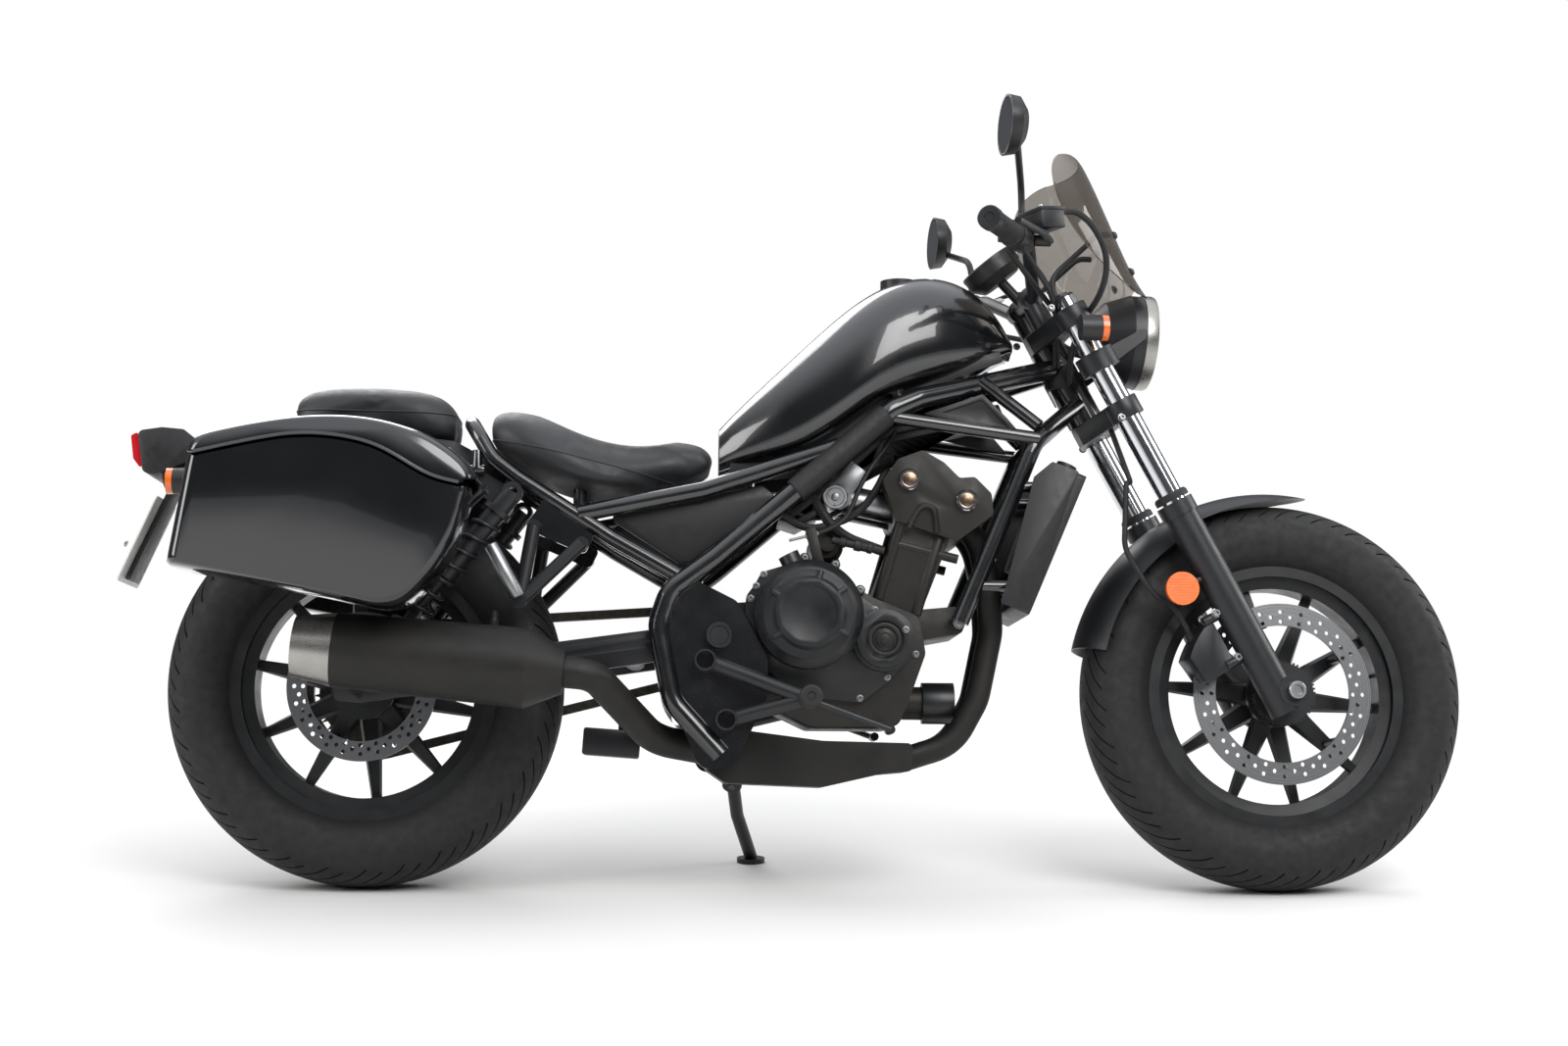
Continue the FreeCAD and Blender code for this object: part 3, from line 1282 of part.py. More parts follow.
tankShare = [(0.0, 0.0, 0.235, 0.55), (0.16, 0.05, 0.47, 0.82), (0.34, 0.15, 0.72, 0.98),
             (0.56, 0.37, 0.96, 1.0),
             (0.78, 0.5, 1.0, 0.84), (0.93, 0.585, 0.86, 0.56), (1.0, 0.63, 0.69, 0.38)]


def domeWire(forward, low, high, half):
    """A section across the machine: a flat base with a round top."""
    tall = high - low
    points = []
    for side, up in ((0.0, 0.0), (0.72, 0.0), (0.95, 0.12), (1.0, 0.36), (0.93, 0.66), (0.66, 0.91),
                     (0.3, 0.99),
                     (0.0, 1.0)):
        points.append(Vector(forward, side * half, low + tall * up))
    ring = points + [Vector(point.x, -point.y, point.z) for point in points[-2:0:-1]]
    return smoothRing(ring)


def tank():
    """A teardrop tank lofted from the seat to the steering head."""
    start = spot(*tankStartShare)
    wires = []
    for along, low, high, wide in tankShare:
        forward = start.x + mm("tankLength") * along
        base = start.z + mm("tankHeight") * low
        top = start.z + mm("tankHeight") * high
        wires.append(domeWire(forward, base, top, mm("tankHalfWidth") * wide))
    body = Part.makeLoft(wires, True, False)
    feature("fuel_tank", body)
    capPlace = start + Vector(mm("tankLength") * 0.62, 0, mm("tankHeight") * 0.985)
    cap = bar(capPlace + Vector(0, 0, mm("capLift")), capPlace
              + Vector(0, 0, mm("tankCapHeight") + mm("capLift")),
              mm("tankCapRadius"))
    body.translate(Vector(0, 0, mm("seatGap")))
    return feature("fuel_cap", cap.cut(body))


tankStartShare = (0.571, 0, 0.676)


def cushion(label, start, length, height, halfWidth, shares, under=None):
    """A padded seat; where it lies on something, its underside takes that form."""
    wires = []
    for along, low, high, wide in shares:
        forward = start.x + length * along
        wires.append(domeWire(forward, start.z + height * low, start.z + height * high, halfWidth * wide))
    shape = Part.makeLoft(wires, True, False)
    if under:
        shape = max(shape.cut(under).Solids, key=lambda solid: solid.Volume)
    return feature(label, shape)


seatShare = [(0.0, 0.8, 1.25, 0.62), (0.06, 0.6, 1.4, 0.82), (0.2, 0.35, 1.28, 0.96),
             (0.38, 0.1, 0.98, 1.0),
             (0.6, 0.05, 0.78, 0.86), (0.82, 0.25, 0.86, 0.62), (0.97, 0.42, 0.86, 0.5),
             (1.0, 0.5, 0.72, 0.45)]
pillionShare = [(0.0, 0.2, 0.7, 0.6), (0.06, -0.1, 0.95, 0.8), (0.25, -0.15, 1.1, 0.96),
                (0.5, -0.15, 1.12, 1.0),
                (0.75, -0.2, 1.05, 1.0), (0.93, -0.25, 0.8, 0.86), (1.0, -0.2, 0.42, 0.7)]


def seats():
    cushion("rider_seat", spot(0.199, 0, 0.64), mm("seatLength"), mm("seatHeight"), mm("seatHalfWidth"),
            seatShare)
    return cushion("pillion_seat", spot(-0.124, 0, 0.741), mm("pillionLength"), mm("pillionHeight"),
                   mm("pillionHalfWidth"), pillionShare, fenderBlock(mm("seatGap")))


def sideCovers():
    shapes = []
    for side in (-1, 1):
        points = [spot(forward, 0, up) for forward, up in
                  ((0.385, 0.6), (0.64, 0.652), (0.665, 0.632), (0.525, 0.524), (0.505, 0.524))]
        left = side * mm("coverHalfWidth")
        shapes.append(sidePlate(points, mm("leverThickness"), left - mm("coverThickness") / 2,
                                mm("coverThickness")))
    return feature("side_covers", together(shapes))


# Rear fender and tail

rearFenderShare = [(0.235, 0.672), (0.142, 0.722), (0.0, 0.742), (-0.13, 0.738), (-0.22, 0.72),
                   (-0.28, 0.675),
                   (-0.31, 0.64)]


def fenderSection(point, forwardTurn, filled=False):
    half = mm("rearFenderHalfWidth")
    deep = mm("rearFenderDepth")
    thick = mm("fenderThickness")
    down = Vector(math.sin(forwardTurn), 0, -math.cos(forwardTurn))

    def ring(inset):
        places = [(-half + inset, deep), (-half + inset, deep * 0.4), (-half * 0.78, inset), (0, inset),
                  (half * 0.78, inset), (half - inset, deep * 0.4), (half - inset, deep)]
        if not inset:
            places[3] = (0, 0)
        return [point + across * left + down * drop for left, drop in places]
    outer = ring(0)
    inner = [] if filled else ring(thick)
    return Part.makePolygon(outer + inner[::-1] + outer[:1])


def fenderLoft(rise, filled):
    """The fender's run from the seat loop to the tail, as a channel or as one block."""
    places = [spot(forward, 0, up) for forward, up in rearFenderShare]
    wires = []
    for index, place in enumerate(places):
        line = places[max(index - 1, 0)] - places[min(index + 1, len(places) - 1)]
        wires.append(fenderSection(place + Vector(0, 0, rise), math.atan2(line.z, line.x), filled))
    return Part.makeLoft(wires, True, True)


def fenderBlock(rise):
    return fenderLoft(rise, True)


def rearFender():
    """A channel-shaped fender that follows the tail down to the lamp."""
    return feature("rear_fender", fenderLoft(0, False))


def tailLamp():
    """A lamp housing on the end of the fender, its lens, the indicators and the plate holder."""
    points = [spot(forward, 0, up) for forward, up in
              ((-0.372, 0.735), (-0.333, 0.741), (-0.298, 0.738), (-0.2765, 0.72), (-0.291, 0.684),
               (-0.346, 0.663),
               (-0.362, 0.668))]
    half = mm("lampHalfWidth")
    housing = sidePlate(points, mm("leverThickness"), -half, half * 2)
    foot = sidePlate([spot(forward, 0, up) for forward, up in
                      ((-0.29, 0.71), (-0.255, 0.7), (-0.27, 0.65), (-0.33, 0.64), (-0.34, 0.69))],
                     mm("leverThickness"), -half * 0.7, half * 1.4).cut(fenderBlock(mm("seatGap")))
    housing = housing.fuse(max(foot.Solids,
                               key=lambda solid: solid.CenterOfMass.z)).cut(fenderBlock(mm("seatGap")))
    feature("tail_lamp", fuse([housing, plateHolder()]))
    lensPoints = [spot(forward, 0, up) for forward, up in
                  ((-0.3723, 0.734), (-0.384, 0.728), (-0.379, 0.69), (-0.3623, 0.668))]
    wide = half * 0.9
    return feature("tail_lens", sidePlate(lensPoints, mm("barEndRadius") * 0.2, -wide, wide * 2))


def rearIndicators():
    bodies = []
    lenses = []
    for side in (-1, 1):
        root = spot(-0.286, 0, 0.645) + across * side * (mm("rearFenderHalfWidth") + mm("seatGap"))
        tip = Vector(root.x, side * mm("rearIndicatorSpread"), root.z)
        radius = mm("indicatorRadius")
        bodies.append(fuse([bar(root, tip, radius * 0.4),
                            bar(tip + Vector(radius, 0, 0), tip - Vector(radius * 0.6, 0, 0), radius)]))
        lenses.append(bar(tip - Vector(radius * 0.6 + mm("seatGap"), 0, 0),
                          tip - Vector(radius * 1.1, 0, 0), radius))
    feature("rear_indicators", together(bodies))
    return feature("rear_indicator_lenses", together(lenses))


def plateHolder():
    top = spot(-0.335, 0, 0.628)
    line = (spot(-0.4, 0, 0.478) - top).normalize()
    out = Vector(line.z, 0, -line.x)
    half = mm("plateWidth") / 2
    thick = mm("plateSheet")
    corners = []
    for left, drop in ((-half, 0), (half, 0), (half, 1), (-half, 1)):
        corners.append(top + line * (mm("plateHeight") * drop) + across * left)
    plate = Part.Face(roundedWire(corners, mm("leverThickness"))).extrude(out * thick)
    arm = [top + across * left + line * mm("plateHeight") * drop - out * mm("seatGap")
           for left, drop in ((-half * 0.4, -0.4), (half * 0.4, -0.4), (half * 0.5, 0.95),
                              (-half * 0.5, 0.95))]
    back = Part.Face(roundedWire(arm, mm("leverThickness"))).extrude(out * -mm("plateThickness"))
    feature("number_plate", plate)
    return back


# Bags

def bagOutline(left, scale, inset):
    """The bag seen from the side, drawn in about its middle by a scale and a wall."""
    start = spot(*bagStartShare)
    length = mm("bagLength")
    height = mm("bagHeight")
    middle = Vector(start.x + length * 0.5, 0, start.z + height * 0.5)
    points = []
    for along, up in bagSideShare:
        place = Vector(start.x + length * along, 0, start.z + height * up)
        off = place - middle
        drawn = Vector(off.x * (scale - 2 * inset / length), 0, off.z * (scale - 2 * inset / height))
        points.append(middle + drawn + across * left)
    return roundedWire(points, mm("bagCorner"))


bagStartShare = (-0.263, 0, 0.432)
bagSideShare = [(0.0, 0.22), (0.06, 0.84), (0.15, 0.9), (0.4, 0.995), (0.55, 1.0), (0.75, 0.95),
                (0.97, 0.74),
                (1.0, 0.6), (0.96, 0.6), (0.9, 0.28), (0.7, -0.01), (0.52, 0.06)]


def bagShell(side, inset):
    near = mm("bagInner") + inset
    far = mm("bagInner") + mm("bagDepth") - inset
    wires = [bagOutline(side * near, 0.97, inset), bagOutline(side * (near * 0.3 + far * 0.7), 1.0, inset),
             bagOutline(side * far, 0.93, inset)]
    return Part.makeLoft(wires, True, True)


def bagLidBlock(side, drop):
    """The space above the line where lid and bag meet."""
    start = spot(*bagStartShare)
    length = mm("bagLength")
    height = mm("bagHeight")
    points = []
    for along, up in lidLineShare:
        points.append(Vector(start.x + length * along, 0, start.z + height * up - drop))
    top = start.z + height * 1.3
    points += [Vector(points[-1].x, 0, top), Vector(points[0].x, 0, top)]
    near = mm("bagInner") - mm("cutOverrun")
    wide = mm("bagDepth") + mm("cutOverrun") * 2
    flat = [Vector(point.x, side * near, point.z) for point in points]
    return Part.Face(Part.makePolygon(flat + flat[:1])).extrude(Vector(0, side * wide, 0))


lidLineShare = [(-0.1, 0.78), (0.07, 0.8), (0.33, 0.895), (0.48, 0.91), (0.67, 0.86), (0.8, 0.74),
                (0.9, 0.66),
                (1.1, 0.64)]


def bagHinge(side):
    """The pin with two cheeks on the bag and the knuckle on the lid, at the front lower end of the lid."""
    start = spot(*bagStartShare)
    line = start.z + mm("bagHeight") * lidLineShare[-2][1]
    middle = Vector(start.x + mm("bagLength") + mm("lidHingeLead"),
                    side * (mm("bagInner") + mm("bagDepth") * 0.6),
                    line - mm("lidHingeDrop"))
    half = across * (mm("lidKnuckleLength") / 2)
    cheek = across * mm("lidCheekWidth")
    outer = mm("lidKnuckleRadius")
    boreRadius = mm("lidPinRadius") + mm("bearingGap")
    free = across * mm("seatGap")
    knuckle = bar(middle - half, middle + half, outer)
    reach = mm("lidArmReach")
    arm = Part.makeBox(reach, half.Length * 1.8, outer * 0.8,
                       middle + Vector(-reach, -half.Length * 0.9, 0))
    arm.rotate(middle, across, mm("lidArmTurn"))
    bore = bar(middle - half * 2, middle + half * 2, boreRadius)
    pinBar = bar(middle - half - free - cheek, middle + half + free + cheek, mm("lidPinRadius"))
    cheeks = []
    for end in (middle - half - free - cheek, middle + half + free):
        ear = fuse([bar(end, end + cheek, outer),
                    Part.makeBox(reach, cheek.Length, outer * 0.8, end + Vector(-reach, 0, -outer * 0.8))])
        ear.rotate(end, across, -mm("lidArmTurn"))
        cheeks.append(ear)
    return [pinBar] + cheeks, fuse([knuckle, arm]).cut(bore)


def bags():
    for side, name in ((-1, "right"), (1, "left")):
        shell = bagShell(side, 0).cut(bagShell(side, mm("bagWall")))
        tubHinge, lidHinge = bagHinge(side)
        lid = shell.common(bagLidBlock(side, 0))
        tub = shell.cut(bagLidBlock(side, mm("lidGap")))
        feature(f"bag_{name}", fuse([tub] + tubHinge))
        feature(f"bag_lid_{name}", fuse([lid, lidHinge]))


def bagRails():
    """A strut along each side of the fender, seated under the seat rail, with two arms that carry the bag."""
    shapes = []
    radius = mm("bagRailRadius")
    for side in (-1, 1):
        left = across * side * (mm("rearFenderHalfWidth") + mm("seatGap") + radius)
        strut = [bar(spot(0.192, 0, 0.672) + left, spot(-0.24, 0, 0.672) + left, radius)]
        face = across * side * (mm("bagInner") - mm("seatGap"))
        for forward in (-0.17, 0.1):
            strut.append(rod([spot(forward, 0, 0.672) + left, spot(forward, 0, 0.63) + (left + face) / 2,
                              spot(forward, 0, 0.63) + face], radius, mm("barBend")))
        root = spot(0.18, 0, 0.672) + left
        strut.append(bar(root, root + Vector(0, 0, radius * 4), radius))
        seat = upright["main_frame"].copy()
        seat.translate(Vector(0, 0, -mm("seatGap")))
        shapes.append(max(fuse(strut).cut(seat).Solids, key=lambda solid: solid.Volume))
    return feature("bag_rails", together(shapes))


# Engine

filterShare = (0.908, 0, 0.305)


def sideBlock(places, corner, half):
    return sidePlate([spot(forward, 0, up) for forward, up in places], corner, -half, half * 2)


def engine():
    """Crankcase with sump, the leaning cylinder block and the head with two cam humps."""
    corner = mm("barEndRadius")
    half = mm("caseHalfWidth")
    case = sideBlock(((0.603, 0.44), (0.64, 0.51), (0.72, 0.53), (0.82, 0.47), (0.895, 0.44), (0.905, 0.38),
                      (0.88, 0.31), (0.86, 0.262), (0.72, 0.262), (0.64, 0.3), (0.603, 0.36)), corner,
                      half * 0.84)
    bayCentre = spot(*frontSprocketShare) + across * (mm("sprocketOffset") - mm("chainWidth"))
    bay = Part.makeCylinder(mm("frontSprocketRadius") + mm("chainHeight") * 2.8, half, bayCentre, across)
    lug = sideBlock(((0.87, 0.45), (0.955, 0.458), (0.975, 0.438), (0.965, 0.415), (0.885, 0.4)),
                    corner * 0.4,
                    half * 0.7)
    boss = bar(spot(0.86, 0, 0.305), spot(*filterShare) - Vector(mm("seatGap"), 0, 0),
               mm("oilFilterRadius") * 0.8)
    case = fuse([case, lug, boss]).cut(bay)
    feature("engine_case", case)
    block = sideBlock(((0.806, 0.43), (0.88, 0.4), (0.95, 0.58), (0.87, 0.6)), corner * 0.1, half * 0.8)
    above = case.copy()
    above.translate(Vector(math.sin(mm("cylinderLean") * math.pi / 180), 0, 1) * mm("seatGap"))
    block = max(fuse([block] + pillars(half)).cut(above).Solids, key=lambda solid: solid.Volume)
    head = sideBlock(((0.858, 0.594), (0.835, 0.66), (0.86, 0.695), (0.9, 0.71), (0.935, 0.69),
                      (0.96, 0.665),
                      (0.985, 0.667), (1.012, 0.64), (1.015, 0.605), (0.956, 0.562)), corner * 0.5,
                      half * 0.9)
    return feature("engine_top", fuse([block, head] + headDetails(half)))


def pillars(half):
    """Upright ribs on the cylinder block, joined by a cross rib, on both sides."""
    shapes = []
    for side in (-1, 1):
        for low, high, radius in pillarShare:
            ends = [spot(forward, 0, up) + across * (side * half * 0.76) for forward, up in (low, high)]
            shapes.append(bar(ends[0], ends[1], mm("barEndRadius") * radius))
    return shapes


pillarShare = [((0.829, 0.468), (0.866, 0.594), 0.5), ((0.889, 0.444), (0.929, 0.57), 0.5),
               ((0.856, 0.559), (0.958, 0.534), 0.4)]


def headDetails(half):
    """The bent rib and the two round cam caps on each side of the head."""
    shapes = []
    for side in (-1, 1):
        face = across * (side * half * 0.9)
        shapes.append(rod([spot(forward, 0, up) + face for forward, up in headRibShare],
                          mm("leverThickness") * 0.45,
                          mm("leverThickness")))
        for forward, up in camCapShare:
            centre = spot(forward, 0, up) + face
            shapes.append(bar(centre, centre + across * (side * mm("camCapDepth") * 0.5),
                              mm("camCapRadius")))
    return shapes


headRibShare = [(0.878, 0.59), (0.899, 0.622), (0.92, 0.615), (0.924, 0.578)]
camCapShare = [(0.878, 0.661), (0.971, 0.628)]


def engineCovers():
    """The right cover plate with the clutch and crank housings, and the left one with its round housing."""
    thick = mm("coverThickness")
    edge = mm("caseHalfWidth") * 0.84 + mm("seatGap")
    points = [spot(forward, 0, up) for forward, up in
              ((0.613, 0.42), (0.615, 0.47), (0.645, 0.51), (0.71, 0.53), (0.765, 0.515), (0.8, 0.47),
               (0.87, 0.42),
               (0.885, 0.38), (0.845, 0.335), (0.8, 0.3), (0.7, 0.31), (0.64, 0.36))]
    plate = sidePlate(points, mm("barEndRadius"), -edge - thick, thick)
    clutch = spot(0.715, 0, 0.439)
    crank = spot(0.835, 0, 0.399)
    outer = Vector(clutch.x, -edge - thick, clutch.z)
    drum = clutchDrum(outer)
    cap = crankCap(Vector(crank.x, -edge - thick, crank.z))
    filler = bar(spot(*fillerShare), spot(*fillerShare) + Vector(-1, 0, 2).normalize() * mm("crankDepth"),
                 mm("camCapRadius"))
    right = fuse([plate, drum, cap, filler])
    mirrorPlate = sidePlate(points, mm("barEndRadius"), edge, thick)
    rotor = Part.makeCylinder(mm("clutchRadius") * 0.85, mm("clutchDepth") * 0.7,
                              Vector(crank.x - thick, edge + thick,
                                                                                         crank.z), across)
    return feature("engine_covers", together([right, fuse([mirrorPlate, rotor]), oilFilter()]))


def clutchDrum(outer):
    """A domed drum with ribs that run in from its rim to a raised ring around a sunk disc."""
    radius = mm("clutchRadius")
    deep = mm("clutchDepth")
    side = outer - across * (deep * 0.55)
    front = side - across * (deep * 0.3)
    shapes = [Part.makeCylinder(radius, deep * 0.55, outer, -across),
              Part.makeCone(radius, radius * 0.84, deep * 0.3, side, -across),
              Part.makeCone(mm("clutchRing") * 1.35, mm("clutchRing") * 1.22, deep * 0.12, front, -across)]
    for turn in clutchRibShare:
        angle = math.radians(turn)
        out = Vector(math.cos(angle), 0, math.sin(angle))
        shapes.append(bar(front + out * mm("clutchRing"), front + out * radius * 0.8,
                          mm("leverThickness") * 0.5))
    ring = Part.makeCylinder(mm("clutchRing"), deep * 0.08, front - across * (deep * 0.12), across)
    return fuse(shapes).cut(ring)


def crankCap(outer):
    """A round cap with two steps, a groove and the hexagon of its plug."""
    radius = mm("crankRadius")
    deep = mm("crankDepth")
    face = outer - across * deep
    step = mm("leverThickness") * 0.5
    cap = fuse([Part.makeCylinder(radius, deep * 0.6, outer, -across),
                Part.makeCylinder(radius * 0.88, deep, outer, -across)])
    cap = cap.cut(Part.makeCylinder(radius * 0.62, step, face, across))
    plug = Part.makeCylinder(radius * 0.42, step * 1.6, face + across * step, -across)
    corners = [face + across * step + Vector(math.cos(math.radians(turn)), 0,
                                             math.sin(math.radians(turn))) * radius * 0.2
               for turn in range(0, 360, 60)]
    hexagon = Part.Face(Part.makePolygon(corners + corners[:1])).extrude(-across * (step * 2.6))
    return fuse([cap, plug, hexagon])


clutchRibShare = (35, 75, 150, 215, 330)
fillerShare = (0.697, -0.126, 0.506)


def intake():
    """Throttle bodies behind the head, under the tank."""
    centre = spot(0.765, 0, 0.64)
    wide = mm("headerSpread")
    shapes = []
    for side in (-1, 1):
        base = centre + across * side * wide
        end = base + Vector(1, 0, -0.2) * (mm("silencerRadius") * 2)
        shapes.append(postTo(base, end, mm("headerRadius") * 1.2, upright["engine_top"]))
    body = bar(centre - across * wide * 1.6, centre + across * wide * 1.6, mm("headerRadius") * 1.1)
    return feature("throttle_bodies", fuse([body] + shapes))


def oilFilter():
    start = spot(*filterShare)
    return bar(start, start + Vector(mm("oilFilterLength"), 0, 0), mm("oilFilterRadius"))


def radiator():
    top = spot(1.135, 0, 0.68)
    low = spot(1.04, 0, 0.455)
    line = (top - low).normalize()
    out = Vector(line.z, 0, -line.x)
    half = mm("radiatorWidth") / 2
    thick = mm("radiatorThickness")
    corners = [low + across * -half, low + across * half, top + across * half, top + across * -half]
    core = Part.Face(roundedWire(corners, mm("leverThickness"))).extrude(out * thick)
    shroud = [spot(forward, 0, up) for forward, up in shroudShare]
    wall = mm("fenderThickness")
    sides = [sidePlate(shroud, mm("leverThickness") * 0.5, left, wall) for left in (-half - wall, half)]
    middle = low * 0.42 + top * 0.58
    fan = bar(middle, middle - out * thick * 0.6, mm("radiatorHeight") * 0.3)
    filler = bar(top - across * (half * 0.6), top - across * (half * 0.6) + line * mm("tankCapHeight"),
                 mm("camCapRadius"))
    return feature("radiator", fuse([core, fan, filler] + sides))


shroudShare = [(1.108, 0.69), (1.152, 0.674), (1.138, 0.644), (1.07, 0.445), (1.024, 0.46), (1.078, 0.665)]


# Exhaust

headerShare = [(0.965, 0.611), (1.0, 0.565), (1.014, 0.5), (1.018, 0.42), (0.995, 0.31), (0.955, 0.237),
               (0.875, 0.212)]


def exhaust():
    """Two header pipes, the collector box and the tapered pipe into the silencer."""
    shapes = []
    head = upright["engine_top"].copy()
    head.translate(Vector(1, 0, -1) * mm("seatGap"))
    for side in (-1, 1):
        left = side * mm("headerSpread")
        places = [spot(forward, 0, up) + across * left for forward, up in headerShare]
        header = rod(places, mm("headerRadius"), mm("railBend") * 1.4).cut(head)
        shapes.append(max(header.Solids, key=lambda solid: solid.Volume))
    boxPoints = [spot(forward, 0, up) for forward, up in
                 ((0.885, 0.237), (0.741, 0.24), (0.615, 0.256), (0.54, 0.255), (0.553, 0.193),
                  (0.584, 0.172),
                  (0.742, 0.166), (0.838, 0.188), (0.885, 0.192))]
    box = sidePlate(boxPoints, mm("leverThickness"), -mm("collectorDepth") * 0.62, mm("collectorDepth"))
    front, back = silencerEnds()
    line = (front - back).normalize()
    pipePlaces = [spot(0.56, -0.055, 0.225), spot(0.47, -0.082, 0.24), front + line * mm("tailPipeLead"),
                  front + line * mm("seatGap")]
    tail = rod(pipePlaces, mm("headerRadius") * 1.25, mm("railBend") * 1.4)
    return feature("exhaust_pipes", fuse(shapes + [box, tail]))


def silencerEnds():
    front = spot(0.33, 0, 0.34)
    back = spot(-0.024, 0, 0.3715)
    left = across * -mm("silencerHalfSpread")
    return front + left, back + left


def silencer():
    front, back = silencerEnds()
    line = (back - front)
    run = line.Length
    line.normalize()
    radius = mm("silencerRadius")
    nose = Part.makeCone(radius * 0.6, radius * 1.08, run * 0.16, front, line)
    can = Part.makeCone(radius * 1.08, radius, run * 0.84, front + line * run * 0.16, line)
    hook = spot(0.215, 0, 0.44) + across * (-mm("pegSpread") * 0.92 + mm("pegTubeRadius") * 2)
    low = front + line * run * 0.3
    hanger = rod([hook - Vector(0, 0, mm("seatGap")), hook - Vector(0, 0, mm("pegRadius")), low],
                 mm("bagRailRadius"),
                 mm("pegRadius"))
    feature("silencer", fuse([nose, can, hanger]))
    cap = Part.makeCone(radius * 0.99, radius * 0.82, mm("silencerCapLength"),
                        back + line * mm("seatGap"), line)
    end = back + line * (mm("silencerCapLength") + mm("seatGap"))
    cap = cap.cut(bar(end - line * mm("silencerCapLength") * 0.6, end + line, mm("silencerOutlet")))
    return feature("silencer_cap", cap)


# Pegs and stand

def pegBrackets():
    """An open round socket at each fixing point, the left ones a little ahead, and the arms to the rider's pegs."""
    sockets = []
    arms = []
    plate = mm("pivotHalfWidth") + mm("plateThickness") / 2 + mm("seatGap")
    for side in (-1, 1):
        tip = spot(*pegRootShare) + across * side * mm("pegSpread")
        pair = []
        for forward, up in socketShare:
            lead = mm("leftSocketLead") * max(side, 0)
            inner = spot(forward, 0, up) + across * side * plate + Vector(lead, 0, 0)
            outer = inner + across * side * mm("socketDepth")
            tube = pipe(inner, outer, mm("socketRadius"), mm("socketRadius") - mm("socketWall"))
            sockets.append(tube)
            start = inner + across * side * mm("socketDepth") * 0.4
            room = bar(inner, outer + across * side * mm("socketDepth"), mm("socketRadius") + mm("seatGap"))
            pair.append(max(bar(start, tip, mm("pegTubeRadius")).cut(room).Solids,
                            key=lambda solid: solid.Volume))
        toe = spot(*footLeverShare) + across * side * mm("pegSpread")
        pad = bar(toe - across * side * mm("leverReach"), toe, mm("leverThickness") * 0.8)
        arms.append(fuse(pair + [bar(tip, toe, mm("leverThickness") * 0.55), pad]))
    feature("socket_tubes", together(sockets))
    return arms


socketShare = [(0.55, 0.364), (0.584, 0.27)]
pegRootShare = (0.712, 0, 0.302)
footLeverShare = (0.842, 0, 0.255)
pillionFixShare = ((0.275, 0.577), (0.351, 0.55))
pillionPlateShare = 0.117


def pegs():
    shapes = []
    gap = mm("seatGap")
    for side in (-1, 1):
        tip = spot(*pegRootShare) + across * side * (mm("pegSpread") + mm("pegTubeRadius") + gap)
        shapes.append(bar(tip, tip + across * side * mm("pegLength"), mm("pegRadius")))
    feature("rider_pegs", together(shapes))
    folded = []
    brackets = []
    for side in (-1, 1):
        left = across * side * mm("pegSpread") * 0.92
        root = spot(0.255, 0, 0.46) + left
        end = spot(0.209, 0, 0.542) + left
        folded.append(bar(root, end, mm("pegTubeRadius")))
        for forward, up in pillionFixShare:
            seat = spot(forward, pillionPlateShare * side,
                        up) + across * side * (mm("plateThickness") / 2 + gap)
            upper = spot(forward, 0, up) + across * side * mm("pegSpread") * 0.74
            joint = spot(0.255, 0, 0.455) + across * side * (mm("pegSpread") * 0.92
                                                             - mm("pegTubeRadius") * 2 - gap)
            near = spot(0.255, 0, 0.455) + across * side * (mm("pegSpread") * 0.92
                                                            - mm("pegTubeRadius") - gap)
            arm = bar(upper, joint, mm("braceRadius")).fuse(bar(joint, near, mm("pegTubeRadius")))
            brackets.append(arm.fuse(bar(seat, upper, mm("braceRadius"))))
    pillion = [brackets[0].fuse(brackets[1]), brackets[2].fuse(brackets[3])]
    feature("footrest_brackets", together(pegBrackets() + pillion))
    return feature("pillion_pegs", together(folded))


standPivot = spot(0.6, 0, 0.18) + across * mm("standPivotLeft")
standFoot = Vector(mm("standFootForward"), mm("standFootLeft"), mm("standFootLeft") * math.tan(lean))
standFolded = Vector(-math.cos(math.radians(mm("standFoldTurn"))),
                     math.sin(math.radians(mm("standFoldTurn"))), 0)
standAxis = (standFoot - standPivot).cross(standFolded).normalize()


def sideStand():
    """The stand's leg from its pivot to the foot on the floor."""
    up = Vector(0, -math.sin(lean), math.cos(lean))
    thick = mm("standFootThickness")
    foot = bar(standFoot, standFoot + up * thick, mm("standFootRadius"))
    ankle = standFoot + up * thick * 1.25
    leg = rod([standPivot, standPivot + (ankle - standPivot) * 0.45
               - Vector(mm("standRadius") * 0.6, 0, 0), ankle],
              mm("standRadius"), mm("railBend"))
    half = standAxis * mm("standHubHalf")
    hub = bar(standPivot - half, standPivot + half, mm("standRadius") * 1.5)
    over = half * 1.5
    bore = bar(standPivot - over, standPivot + over, mm("standBolt") + mm("bearingGap"))
    return feature("side_stand", fuse([foot, leg, hub]).cut(bore))


def standBracket():
    """The bolt and lug on the frame that carry the side stand."""
    top = standPivot + standAxis * (mm("standHubHalf") + mm("seatGap"))
    lug = bar(top, top + standAxis * mm("leverThickness"), mm("standRadius") * 1.4)
    bolt = bar(standPivot - standAxis * mm("standHubHalf") * 1.3, top, mm("standBolt"))
    rail = spot(*mainRailShare[0])
    arm = bar(top + standAxis * mm("leverThickness"), rail + Vector(0, 0, mm("railRadius")),
              mm("standRadius") * 0.8)
    return [lug, bolt, arm]


# Build everything

